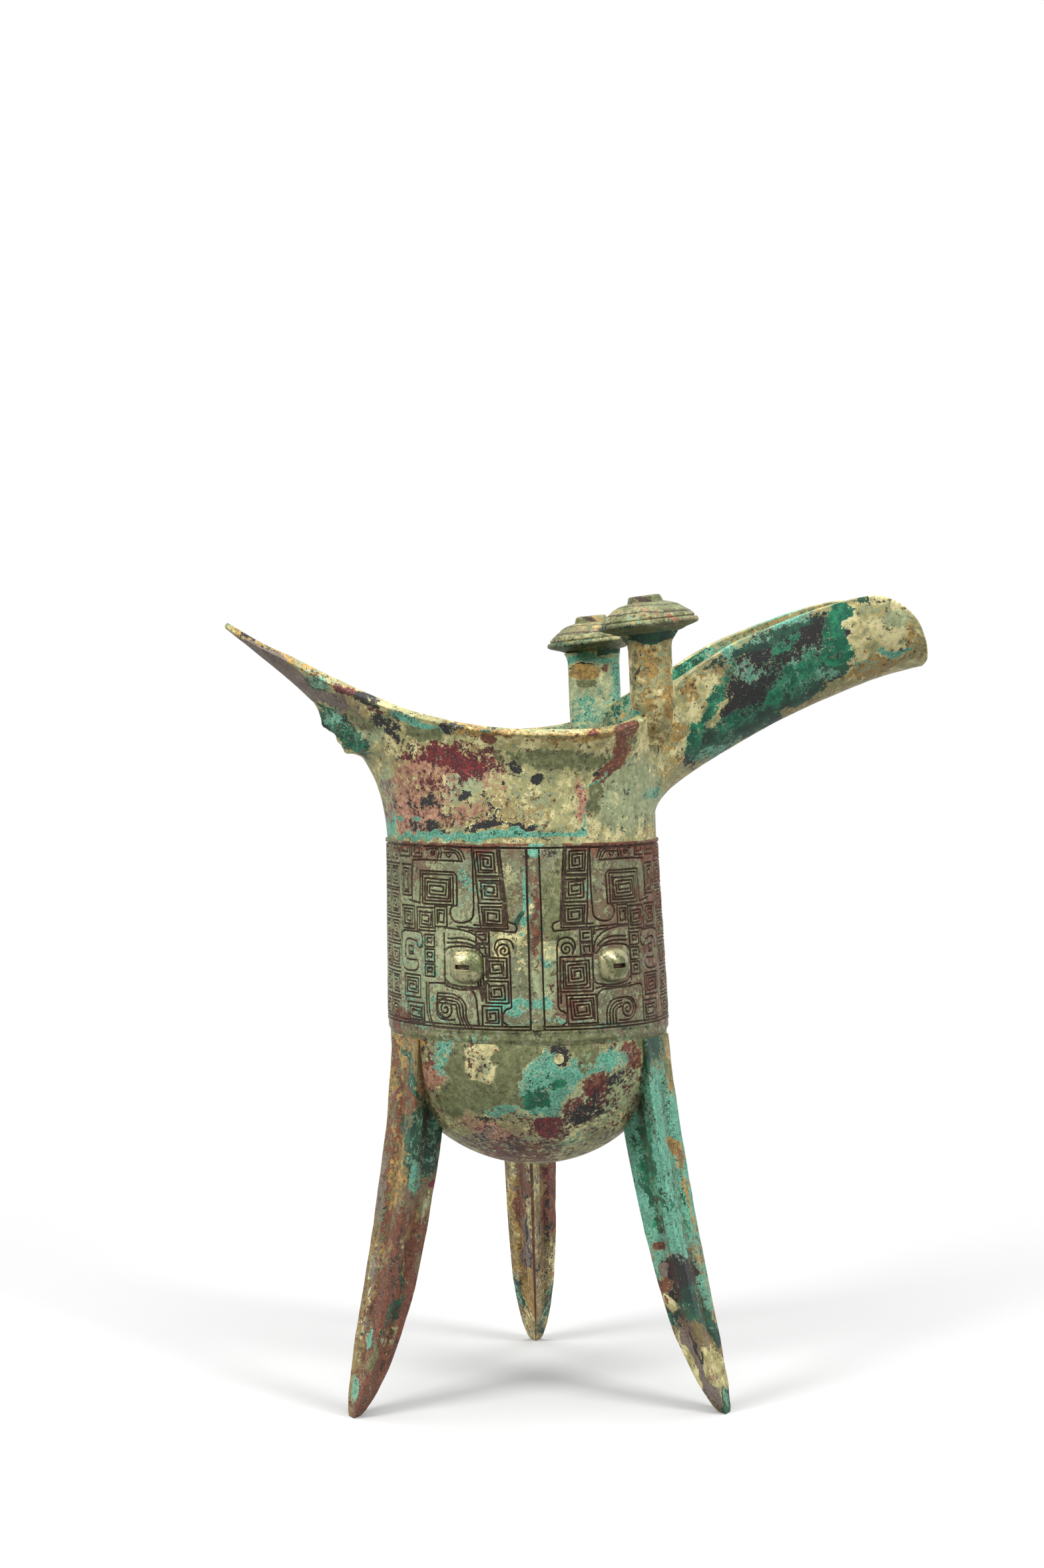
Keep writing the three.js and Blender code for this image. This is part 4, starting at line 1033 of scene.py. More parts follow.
def make_post(end, side, x, wide, top):
    narrow = POST_NARROW / 2
    corners = np.array([
        (-wide / 2, 0.5), (-wide / 2 + 1.2, 1), (0, 1.06), (wide / 2 - 1.2, 1), (wide / 2, 0.5),
        (narrow + 0.9, -0.6), (narrow - 0.8, -1), (0, -1.05), (-narrow + 0.8, -1), (-narrow - 0.9, -0.6),
    ]) * [1, POST_DEEP / 2]
    sides = zip(corners, np.roll(corners, -1, axis=0))
    section = np.array([a + (b - a) * t for a, b in sides for t in (0.14, 0.32, 0.5, 0.68, 0.86)])
    disc = unit(section) * COLLAR_RADIUS
    heights = np.linspace(POST_FOOT - 1, top - 0.05, 90)
    deep = np.interp(heights, [POST_FOOT, POST_FOOT + POST_ROOT / 2, POST_FOOT + POST_ROOT], [0.3, 0.75, 1])
    rounding = np.interp(heights, [top - 4, top - 2.5, top - 1.25, top], [0, 0.1, 0.45, 0.78]) ** 1.2
    rings = []
    for z, d, r in zip(heights, deep, rounding):
        p = section + (disc - section) * r
        shift = (1 - d) * POST_DEEP / 2
        rings.append(grid(p[:, 0] + x, side * POST_OUT - side * (p[:, 1] * d + shift), BAND_TOP + z))
    rings = np.array(rings)
    near_top = smooth(POST_FOOT + POST_ROOT, top, heights)[:, None]
    rings[:, :, 2] += near_top * (rings[:, :, 0] - x) * math.tan(CAP_TILT)
    if side < 0:
        rings = rings[:, ::-1]
    flat, faces, ends = closed_loft(rings)
    flat = flat + waves(flat, "post")[:, None]
    piece = mesh_piece("post_shaft_" + end, flat, faces, "post_" + end, PALE, ends)
    paint(piece, LIP_REAR, POST_FRONT[end], POST_SPOTS[end])


def cap_profile():
    """The cap's outline from its foot out over the brim and up in rings to the knob."""
    k = CAP_HEIGHT - 1.8
    return smooth_line([
        (0.05, 0.0), (4, 0.0), (7.4, 0.0), (9.4, 0.75), (11.2, 1.35), (12.1, 1.75), (12.4, 2.3),
        (12.1, 2.95), (11.5, 3.1), (11.6, 3.5), (11.2, 4.05), (10.6, 4.7), (10.35, 4.75), (10.2, 5.0),
        (9.2, 5.7), (7.9, 6.6), (7.65, 6.6), (7.4, 6.8), (6.2, 7.2), (4.7, k + 0.05), (4.5, k + 0.1),
        (4.35, k + 0.5), (4.1, k + 1.3), (3.7, k + 1.72), (2.8, k + 1.75), (1.4, k + 1.5), (0.05, k + 1.45),
    ], 4)


def make_cap(end, side, x, top, shift):
    foot = np.array([x + shift, side * POST_OUT, BAND_TOP + top])
    flat, faces, ends = closed_loft(tilted(turned(cap_profile(), 200), CAP_TILT) + foot)
    brim = smooth(8, 12, np.hypot(*(flat - foot)[:, :2].T))
    flat = flat + unit(flat - foot - [0, 0, 2]) * (waves(flat, "cap") * (0.1 + 0.22 * brim))[:, None]
    piece = mesh_piece("cap_" + end, flat, faces, "post_cap_" + end, OLIVE, ends)
    radius = np.hypot(*(flat - foot)[:, :2].T)
    lines = sum(np.exp(-(((radius - line_radius) / CAP_LINE_HALF) ** 2)) for line_radius in CAP_LINES)
    # Darker rings at the steps of the cap's profile
    carve = CAP_LINE_DARK * lines * (flat[:, 2] > foot[2] + 2)
    paint(piece, CAP_REAR, CAP_FRONT[end], CAP_SPOTS[end], carve)


# Handle

HANDLE_AZIMUTH = 81.0
HANDLE_WIDTH = 12.0
HANDLE_THICK = 4.4
HANDLE_LINE = np.array([
    (-3, 45), (5, 47.5), (14, 46), (20.5, 39), (22.5, 28), (20.5, 17), (14, 9), (6, 5.5), (-3, 5),
])
STRAP_HALF = ((0.42, 1), (0.5, 0.84), (0.62, 0.84), (0.8, 0.75), (0.95, 0.55), (1, 0.3))
STRAP_SECTION = np.array([
    *((-a, b) for a, b in STRAP_HALF[::-1]), *STRAP_HALF,
    (1, -0.6), (0.97, -0.85), (0.9, -1), (0.4, -1), (-0.4, -1), (-0.9, -1), (-0.97, -0.85), (-1, -0.6),
])


def handle_path(steps):
    """Points along the middle of the strap, out from the axis and up, and its direction there."""
    middle = smooth_line(HANDLE_LINE, steps) + [BOWL_RADIUS, BAND_FOOT]
    return middle, unit(np.gradient(middle, axis=0))


def make_handle():
    middle, along = handle_path(16)
    thick = STRAP_SECTION[:, 1] * HANDLE_THICK / 2
    x = middle[:, :1] - along[:, 1:] * thick
    z = middle[:, 1:] + along[:, :1] * thick
    rings = grid(x, -STRAP_SECTION[:, 0] * HANDLE_WIDTH / 2, z)
    flat, faces, ends = closed_loft(at_azimuth(rings, HANDLE_AZIMUTH))
    flat = flat + waves(flat, "handle")[:, None]
    piece = mesh_piece("handle_strap", flat, faces, "handle_loop", OLIVE, ends)
    paint(piece, REAR, {})


def ellipsoid(middle, radii, rings=24, around=36):
    t = np.linspace(0.03, math.pi - 0.03, rings)
    made = turned(np.stack([np.sin(t), -np.cos(t)], axis=1), around) * radii + middle
    return closed_loft(made)


def tube(points, radii, around=16):
    path = smooth_line(points, 6)
    sizes = np.interp(np.linspace(0, 1, len(path)), np.linspace(0, 1, len(radii)), radii)
    tangent = unit(np.gradient(path, axis=0))
    first = unit(np.cross(tangent, [0, 0.2, 1.0]) + 1e-6)
    second = np.cross(tangent, first)
    angle = np.linspace(0, 2 * math.pi, around, endpoint=False)[None, :, None]
    round_path = np.cos(angle) * first[:, None, :] + np.sin(angle) * second[:, None, :]
    return closed_loft(path[:, None, :] + sizes[:, None, None] * round_path)


HEAD_PLACE = 210  # which of the points along the strap, 100 between each two of its line
HEAD_VOXEL = 0.34


def head_parts():
    """Skull, face and muzzle; then an eye, a nostril, an ear and a horn on each side."""
    parts = [
        ellipsoid((0.4, 0, 0.5), (5.0, 5.6, 5.0)),
        ellipsoid((2.4, 0, -4.0), (3.9, 3.9, 4.6)),
        ellipsoid((3.6, 0, -6.6), (2.9, 3.4, 2.3)),
    ]
    for side in (-1, 1):
        horn = [(1, 2.4, 3.4), (1.6, 5.4, 5.4), (0.4, 6.6, 8.2), (-1.4, 5.0, 10.6)]
        parts += [
            ellipsoid((3.9, side * 3.5, -0.6), (1.5, 1.4, 1.2), 12, 18),
            ellipsoid((5.9, side * 1.5, -7.2), (0.9, 0.9, 0.8), 10, 14),
            ellipsoid((0.2, side * 5.8, -0.2), (1.1, 1.9, 1.4), 12, 18),
            tube(np.array(horn) * [1, side, 1], (2.0, 1.7, 1.3, 0.7)),
        ]
    return parts


def one_skin(parts):
    """Points and quads of a remeshed, eased skin round closed parts."""
    points, quads, ends, count = [], [], [], 0
    for part_points, part_quads, part_ends in parts:
        points.append(part_points)
        quads.append(part_quads + count)
        ends += [(end + count).tolist() for end in part_ends]
        count += len(part_points)
    mesh = bpy.data.meshes.new("head_parts")
    mesh.from_pydata(np.vstack(points).tolist(), [], np.vstack(quads).tolist() + ends)
    block = bpy.data.objects.new("head_parts", mesh)
    bpy.context.collection.objects.link(block)
    skin = block.modifiers.new("skin", "REMESH")
    skin.mode = "VOXEL"
    skin.voxel_size = HEAD_VOXEL
    ease = block.modifiers.new("ease", "SMOOTH")
    ease.factor = 0.5
    ease.iterations = 4
    bpy.context.view_layer.update()
    evaluated = block.evaluated_get(bpy.context.evaluated_depsgraph_get())
    made = evaluated.to_mesh()
    found = np.array([vertex.co for vertex in made.vertices])
    quads = np.array([list(face.vertices) for face in made.polygons if len(face.vertices) == 4])
    evaluated.to_mesh_clear()
    bpy.data.objects.remove(block)
    bpy.data.meshes.remove(mesh)
    return found, quads


def make_head():
    """An ox head on the handle's shoulder."""
    points, quads = one_skin(head_parts())
    middle, along = handle_path(100)
    (out, up), (ahead, rise) = middle[HEAD_PLACE], along[HEAD_PLACE]
    points = tilted(points, -math.atan2(ahead, -rise)) + [out, 0, up]
    points = at_azimuth(points, HANDLE_AZIMUTH)
    points = points + waves(points, "head")[:, None]
    piece = mesh_piece("handle_head", points, quads, "handle_ox_head", OLIVE)
    paint(piece, REAR, {})


# What lies where, in the front view

REAR = {
    "celadon": 0.42, "turquoise": 0.32, "emerald": 0.26, "ochre": 0.3, "cream": 0.3, "charcoal": 0.22,
    "rust": 0.3,
}
LIP_REAR = {
    "cream": 0.36, "celadon": 0.4, "turquoise": 0.34, "emerald": 0.28, "ochre": 0.46, "rust": 0.28,
    "olive": 0.34, "charcoal": 0.26,
}
BAND_REAR = {"celadon": 0.3, "turquoise": 0.2, "rust": 0.36, "cream": 0.2}
LEG_REAR = {"ochre": 0.34, "rust": 0.3, "turquoise": 0.34, "celadon": 0.3, "pine": 0.22}
CAP_REAR = {"rust": 0.3, "pine": 0.25, "celadon": 0.3}

BOWL_FRONT = {"celadon": 0.45, "cream": 0.42, "rust": 0.34, "crimson": 0.3, "olive": -0.2}
BOWL_SPOTS = [
    # The smooth olive field, with a cream patch and its turquoise shore
    ("olive", (-9, 81, 13, 9.5, 1.3), (-16, 74, 7, 5, 1.2), (2, 86.5, 14, 2.2, 0.9), (-4, 72.5, 8, 3, 0.7),
     (16, 84.5, 4, 4, 0.9), (20, 90.5, 22, 1.4, 0.6), (32, 88, 3, 3, 0.8), (-11, 83.5, 3.2, 6.5, -1.6, 12),
     (-7.5, 86.5, 3, 1.8, -1.6)),
    ("cream", (-11, 83.5, 4, 7, 0.9, 12), (-7.5, 86.5, 3.4, 2.2, 0.9), (-9, 82, 1.2, 1.5, -0.8)),
    ("celadon", (-9, 82, 1.2, 1.5, 0.6)),
    # Turquoise and emerald across the middle
    ("olive", (6, 78, 6.5, 6, -1.5), (-5, 71, 5, 2, -0.8)),
    ("turquoise", (7, 80, 8, 6, 0.72), (4.5, 74, 6.5, 5, 0.75), (12, 82.5, 6, 4, 0.36),
     (24, 78, 4, 6, 0.34), (-13, 71.5, 4, 1.6, 0.5), (-5, 71.5, 5, 2.2, 0.62), (18, 82.5, 5, 2.6, 0.62),
     (-19.5, 85, 3.5, 4.5, 0.6), (24, 84, 4, 2.5, 0.5)),
    ("emerald", (4, 73, 5, 4, 0.34), (5, 77, 6, 5, 0.3)),
    ("celadon", (5, 75, 7, 7, 0.46), (26, 84, 5, 4, 0.5), (12, 78, 3.5, 3.5, 0.6)),
    ("cream", (6, 70.5, 4, 2.4, 0.5, 30)),
    # Black halo of the spacer
    ("charcoal", (9.6, 84.6, 2.6, 2.6, 0.85), (5.5, 83.6, 1.8, 1.4, 0.6)),
    ("turquoise", (9.6, 84.6, 2.6, 2.6, -1.2)),
    ("emerald", (9.6, 84.6, 2.8, 2.8, -0.8)),
    # The red-brown slanting streak with black mottling
    ("crimson", (20, 76, 9, 5, 0.1, 38), (15, 72, 7, 3.5, 0.14, 40)),
    ("charcoal", (24, 80, 4.5, 2.6, 0.46, 30), (15, 70, 6, 3, 0.42, 35), (20, 73.5, 8, 4, 0.27, 38)),
    ("celadon", (20, 74, 9, 6, 0.3, 38)),
    ("cream", (18, 72, 9, 6, 0.3, 38)),
    ("rust", (28, 85, 2, 2.8, 0.8, 40), (18, 77, 4, 2.5, 0.45, 40)),
    ("salmon", (28, 85.5, 1.6, 2.6, 0.5, 50)),
    ("turquoise", (18, 74, 9, 5, -0.5, 38)),
    ("emerald", (18, 74, 9, 5, -0.5, 38)),
    # Crimson tongue and the mottled bottom
    ("crimson", (6, 66, 2.8, 2.6, 0.95), (8, 68, 1.3, 2, 0.8, 60), (-2, 62, 12, 4, 0.08)),
    ("charcoal", (-2, 62, 14, 4, 0.26), (-11, 69, 3, 1, 0.6)),
    ("lilac", (-6, 64, 10, 3, 0.45)),
    ("celadon", (0, 61, 14, 3, 0.3)),
    ("salmon", (-12, 67.5, 7, 3, 0.5, -30), (-4, 66, 8, 3, 0.45)),
    ("rust", (0, 60.5, 12, 2.5, 0.3)),
    ("turquoise", (14, 63.5, 4, 2.2, 0.45, 30)),
    ("emerald", (12, 62.5, 4, 1.8, 0.35, 30)),
    # Ochre by the tail-side leg, pale green by the other
    ("ochre", (-27, 87, 2.5, 4, 0.75), (26, 70, 2.5, 4, 0.45, 60), (16.3, 86.6, 1.4, 1.2, 0.8)),
    ("salmon", (-24, 79, 3.2, 8, 0.7, 110)),
    ("rust", (-22.5, 80.5, 2.2, 3, 0.55)),
    ("charcoal", (-25, 87, 1.6, 4, 0.5)),
    ("celadon", (28, 76, 6, 10, 0.7, 60)),
    ("cream", (24, 70, 5, 4, 0.35), (14, 67, 5, 3, 0.36, 30)),
    ("lilac", (18.8, 86.2, 1.5, 1.2, 0.8)),
    ("olive", (-24, 82, 4, 9, -0.8), (5, 83, 4, 2, -0.8), (-12, 79, 9, 6, -0.25)),
    ("turquoise", (-14, 78, 9, 5, 0.2)),
    ("emerald", (1.5, 73, 2.4, 2.4, 0.5), (9, 79, 1.6, 2, 0.6)),
    ("pine", (12, 81, 1.4, 1.2, 0.7)),
]
BAND_FRONT = {"celadon": 0.35, "ochre": 0.2, "rust": 0.1}
BAND_SPOTS = [
    # Reddish ends and top, greener tail side
    ("rust", (36, 116, 8, 27, 0.36), (26, 137, 12, 3, 0.42), (-20, 137, 14, 2.5, 0.36),
     (-9, 124, 4, 14, 0.25), (12, 104, 7, 10, 0.3)),
    ("lilac", (35, 110, 6, 22, 0.35)),
    ("celadon", (-22, 112, 13, 20, 0.25)),
    ("turquoise", (-27, 104, 8, 14, 0.34), (-12, 128, 6, 12, 0.3)),
    ("crimson", (-20, 135, 12, 3, 0.28), (24, 137, 10, 4, 0.3)),
    # Bead and the lines under it
    ("rust", (-10, 138.9, 26, 1.1, 0.62), (22, 138.6, 14, 1.2, 0.5)),
    ("cream", (0, 140.2, 36, 0.35, 0.4)),
    ("turquoise", (0, 140.3, 34, 0.7, 0.38)),
    # Nose panel
    ("olive", (8.5, 122, 4, 17, 0.62), (-4.5, 118, 2.5, 10, 0.42), (6.7, 112, 2.6, 2.6, -0.8)),
    ("cream", (0.6, 116, 1.6, 13, 0.55), (-4.5, 128, 2.5, 8, 0.38), (-4, 114, 4, 5, 0.6),
     (6.7, 112, 2.3, 2.3, 1), (-6, 110, 2.2, 6, 0.5)),
    ("turquoise", (0.4, 124, 1.3, 11, 0.5), (-3, 97.6, 7, 2.2, 0.72), (6, 98.2, 3, 1.6, 0.6),
     (6.3, 108.6, 2.5, 1.2, 0.6), (16.8, 126, 1.4, 6, 0.5), (3.6, 137.6, 2, 2.6, 1.2)),
    ("celadon", (6, 104, 4, 8, 0.4)),
    ("emerald", (5.2, 117.5, 0.8, 1, 0.9), (4.6, 139.6, 3, 1.2, 0.9)),
    ("pine", (-1.3, 121, 0.8, 1.6, 0.8)),
    ("charcoal", (7.3, 135.6, 2, 1.4, 0.7), (1.6, 136.4, 0.9, 1.2, 0.8), (-0.2, 136, 0.8, 1, 0.6)),
    ("rust", (3.3, 118, 0.9, 19, 0.55)),
    # Strip under the ornament
    ("clear", (0, 89, 44, 2.6, 0.9)),
    ("olive", (0, 88.6, 44, 3, 0.66), (0, 92, 34, 1.3, 0.4)),
    ("turquoise", (0, 89, 44, 2.4, 0.3), (-16, 88, 6, 2, 0.4), (26, 88.5, 4, 2, 0.4),
     (0, 93.2, 26, 0.9, 0.42)),
    ("rust", (0, 90, 44, 1.6, 0.3), (-28, 89, 5, 2, 0.7), (-31, 94, 3, 3, 0.6)),
    ("cream", (18, 88.5, 5, 1.4, 0.5)),
    ("charcoal", (0, 92.6, 9, 0.8, 0.45)),
    ("pine", (26, 93, 10, 0.8, 0.5)),
]
EYE_FRONT = {"celadon": 0.3, "charcoal": 0.28, "olive": 0.3}
EYE_SPOTS = [
    # Painted highlight on the bosses' tops in cream, painted shade on their lower halves in olive
    ("olive", (24.5, 107.6, 3, 2.2, 0.5), (-12, 109, 3.5, 2.2, 0.5)),
    ("cream", (23, 112, 3, 2, 0.4), (-15, 111.5, 3, 2, 0.5)),
]
LIP_FRONT = {"cream": 0.45, "celadon": 0.36, "rust": 0.12, "charcoal": 0.12}
LIP_SPOTS = [
    # Tail: gilded ochre above, grey-lilac below, then red, dark and cream
    ("ochre", (-64, 189.3, 14, 2.6, 0.95, -27)),
    ("cream", (-57, 184.6, 5, 1.5, 0.5, -27), (-34.4, 173.2, 2.6, 1.2, 0.95, -25)),
    ("charcoal", (-68, 190, 8, 0.8, 0.35, -27), (-39, 174.6, 4, 1.8, 0.62, -25),
     (-31, 171.8, 1.7, 0.9, 0.9), (-34, 168, 6, 2.2, 0.5, -28), (-42, 163, 4, 1.2, 0.5, -55)),
    ("lilac", (-60, 182.3, 15, 2.4, 1, -35), (-44, 172.5, 9, 2.4, 0.6, -38)),
    ("celadon", (-40, 167, 5, 3, 0.6)),
    ("turquoise", (-52, 181, 3.5, 1.6, 0.5, -27), (-28.5, 170.2, 4.5, 1.7, 1.1, -12),
     (-22.5, 168.6, 3, 0.9, 1, -35), (-24.3, 167, 3.6, 1.4, -1.4, -20), (-46, 169, 6, 2.4, 0.52, -45)),
    ("pine", (-53, 180, 4, 1.5, 0.55, -30), (-46, 168, 9, 3.4, 0.85, -45)),
    ("crimson", (-45, 177.6, 5.5, 1.7, 0.75, -27), (-38, 172.5, 3, 1.2, 0.5, -25)),
    ("olive", (-41, 170.5, 6, 1.6, 0.45, -35), (-24.3, 167, 4.6, 1.9, 1.3, -20)),
    ("emerald", (-44, 166, 8, 3, 0.42, -45)),
    # Ochre rim, with painted shade under it: the olive and charcoal band about 160 up
    ("clear", (-12, 168, 10, 2.2, 0.5, -7), (7, 165.6, 18, 2.2, 0.6)),
    ("cream", (5, 165.4, 22, 2.2, 0.5), (8, 164, 12, 1.4, 0.35)),
    ("ochre", (-14, 167.6, 9, 2.2, 0.7, -7), (5, 166.2, 19, 1.8, 0.5), (22, 167.6, 7, 2.2, 0.5, 15)),
    ("crimson", (11, 162.2, 7, 0.9, 0.62, -3), (18, 167, 1.6, 1.2, 0.7)),
    ("charcoal", (-19, 168, 2.5, 1.3, 0.55), (-8, 167.8, 18, 1.2, 0.28), (8, 160.8, 14, 2.2, 0.3)),
    ("pine", (-9.6, 167, 1.2, 0.6, 0.9)),
    # Painted shade under the flared rim: this olive band and the charcoal one at 160.8 up; the rust with
    # them is its own colour
    ("olive", (8, 160.4, 16, 3, 0.8)),
    ("rust", (8, 161.2, 14, 2, 0.3)),
    # Neck: crimson and salmon by the tail, pale yellow-green in the middle
    ("crimson", (-25, 162.4, 10, 3, 0.5, -12), (-14, 161, 8, 4.4, 0.5, -10), (-13.5, 157.4, 3.6, 3, 0.45),
     (-27, 152, 9, 11, 0.27), (-18, 155, 8, 4, 0.22), (-5, 158, 4, 5, 0.34), (-3, 149, 5, 1.2, 0.3),
     (2, 153, 4, 1, 0.3)),
    ("rust", (-7.6, 164.6, 3, 1.2, 1, -20), (-30, 147, 5, 7, 0.3), (-22, 145, 9, 2.5, 0.4)),
    ("salmon", (-26, 152, 11, 11, 0.6), (-28, 146, 7, 6, 0.3), (-7, 155, 5, 6, 0.5),
     (-20, 160, 10, 3, 0.45), (-12, 146, 6, 3, 0.4)),
    ("celadon", (-16, 153.5, 5, 4, 0.65), (-34, 152, 2, 9, 0.6)),
    ("lilac", (-34.5, 148, 2, 9, 0.55)),
    ("charcoal", (-18, 147, 17, 7, 0.24), (-26, 150, 4, 1.4, 0.26), (-24, 142.6, 5, 1.3, 0.32),
     (-14.6, 150.4, 1.1, 1.3, 0.8), (-2, 158.5, 2, 1.3, 0.75), (-5, 155.1, 0.8, 0.8, 0.8),
     (3.6, 160.6, 1.7, 1.1, 0.62), (3.8, 160.4, 1.4, 0.9, 0.8), (3.7, 155.4, 1.3, 1.9, 0.95, -30),
     (19.4, 158.3, 1.5, 0.9, 0.8), (-1, 142.6, 3, 0.8, 0.6), (-9, 143.8, 3, 0.8, 0.6),
     (3, 143.6, 1.2, 1.2, 0.7)),
    ("turquoise", (-26.5, 144.6, 1.5, 0.8, 1), (-31, 145, 1, 1, 0.8), (-33.4, 144, 1.4, 3, 0.8)),
    # Brick-red strip and the olive beside it
    ("clear", (26.2, 165.4, 2.4, 5.2, 0.95, -10)),
    ("salmon", (26.2, 165.4, 2.4, 5.4, 0.4, -10)),
    ("rust", (26.2, 165.4, 2.5, 5.4, 1.3, -10)),
    ("crimson", (26.2, 165.2, 2.2, 5.2, 0.4, -10)),
    ("clear", (22.4, 157.8, 5, 1.5, 0.95, 42)),
    ("salmon", (22.4, 157.8, 5, 1.6, 0.4, 42), (14.4, 149.5, 1.6, 7.5, 1, -10),
     (17.6, 154.6, 2.5, 1.1, 0.6, 42)),
    ("rust", (22.4, 157.8, 5, 1.6, 1.3, 42)),
    ("crimson", (22.4, 157.8, 5, 1.4, 0.4, 42), (15, 151, 1.3, 5.6, 0.55, -10)),
    ("olive", (18.4, 150.4, 2.5, 5.2, 0.75, -12), (28, 163.4, 1.5, 4, 0.55, -15)),
    ("turquoise", (18.5, 155, 3.5, 0.8, 0.75, 25), (15.6, 145, 0.8, 6, 0.6, -10)),
    # The spout side of the neck
    ("celadon", (27, 151, 9, 9, 0.5)),
    ("turquoise", (28, 152, 7, 8, 0.16), (34, 152, 3, 2, 0.42)),
    ("cream", (26, 151, 8, 9, 0.36), (23, 147, 5, 5, 0.5), (34, 166, 5, 9, 0.5), (28, 156, 5, 4, 0.4)),
    ("ochre", (37, 157, 3, 7, 0.5, -35), (36.6, 165, 2.6, 3.2, 0.66), (39, 168, 2, 2, 0.6),
     (29, 153, 1.3, 1.3, 0.75), (34, 150, 4, 3, 0.32)),
    # Crust along the neck's joint
    ("turquoise", (-20, 141, 16, 0.8, 1), (-1, 141.4, 16, 1, 1.3), (15.4, 141.6, 1.6, 0.6, 1)),
    ("emerald", (-1, 141.4, 12, 0.5, 0.35)),
    # Spout: cream, an emerald shore, charcoal with green, an emerald bar, and the pale lip
    ("cream", (44, 177, 7, 7, 0.75, 50), (41, 168, 3, 8, 0.6)),
    ("ochre", (42.5, 179, 2.4, 4, 0.72), (48.5, 184, 5, 2, 0.5, 40), (41, 167.6, 1.5, 1.5, 0.8)),
    ("emerald", (52.8, 183, 1.5, 4.5, 0.78, -28), (48.6, 174.5, 2, 5, 0.8, -24),
     (44.6, 166.4, 2.6, 5, 0.72, -26)),
    ("pine", (46.5, 164, 4, 5, 0.7, -30)),
    ("charcoal", (43.4, 160.4, 2.6, 3.2, 0.62)),
    ("turquoise", (52.6, 187.4, 2.4, 2.4, 0.8), (54, 183, 3.4, 3.4, 0.42)),
    ("celadon", (49, 164, 3, 5, 0.4, -40)),
    ("clear", (65, 184, 15, 12, 0.7, 28)),
    ("pine", (63, 192.6, 12, 2.6, 0.8, 25), (75, 180.6, 10, 3, 0.85, 30), (70, 180, 14, 4.4, 0.62, 30),
     (60, 170.5, 13, 3, 0.8, 33), (50, 165, 8, 4, 0.55, 35), (78, 185.6, 3, 3.2, 0.6, 30),
     (88, 199.8, 4, 1.4, 0.5), (60, 190, 22, 1.3, 0.5, 24)),
    ("rust", (69, 184, 9, 6, 0.3, 30), (63.5, 177.8, 0.8, 0.8, 0.9)),
    ("emerald", (68, 183, 10, 7, 0.24, 30), (67, 190, 6, 2, 0.45, 30), (72, 182.5, 9, 4, 0.42, 32),
     (64, 175.4, 3.6, 2.4, 0.72, 20), (55, 170.5, 8, 2.4, 0.5, 35), (79.4, 194, 2.8, 5.6, 0.8, -6),
     (82, 197.6, 3, 1.6, 0.85), (81, 187.6, 3.6, 2.8, 0.82, 25), (77.5, 190, 1.2, 4, 0.7)),
    ("charcoal", (60, 180.5, 9, 9, 0.85, 30), (70, 187.5, 9, 7.5, 0.85, 25), (75.5, 192, 4, 6, 0.9),
     (56, 173, 6, 4, 0.8, 35), (82.4, 192.6, 1.8, 1.2, 0.8), (90, 200.4, 6, 0.8, 0.6),
     (89, 199, 14, 6, -0.3)),
    ("turquoise", (58, 183, 4.6, 4, 0.45, 20), (60, 193, 12, 2.2, 0.42, 26), (68, 196.5, 7, 2, 0.5, 15),
     (72, 183, 8, 5, 0.36, 30), (50, 162.5, 6, 2, 0.5, 36), (79.6, 194, 2.4, 5, 0.34, -6),
     (78, 182, 2.6, 2.4, 0.42), (94, 187.7, 5, 0.6, 0.8, 14), (87.6, 184.6, 2.8, 0.5, 0.75, 20),
     (99, 189, 1.5, 0.6, 0.6)),
    ("salmon", (57, 171.8, 2, 1.2, 0.6)),
    ("cream", (80.2, 192, 0.9, 1.6, 0.9, 20), (93, 190, 10.5, 11, 1), (88, 195, 5, 5, 0.8)),
    ("ochre", (90, 183.6, 9, 2.6, 0.72, 17), (100, 190, 2.6, 6, 0.55, 12), (88, 188, 3, 2, 0.5)),
    ("celadon", (95.5, 196, 4, 1.4, 0.6)),
]
LEG_FRONT = {
    "leg_tail_side": {"ochre": 0.45, "rust": 0.36, "olive": 0.3, "lilac": 0.25, "cream": 0.3},
    "leg_spout_side": {"pine": 0.4, "celadon": 0.36, "ochre": 0.3, "turquoise": 0.38},
    "leg_handle_side": {"ochre": 0.4, "cream": 0.42, "lilac": 0.34},
}
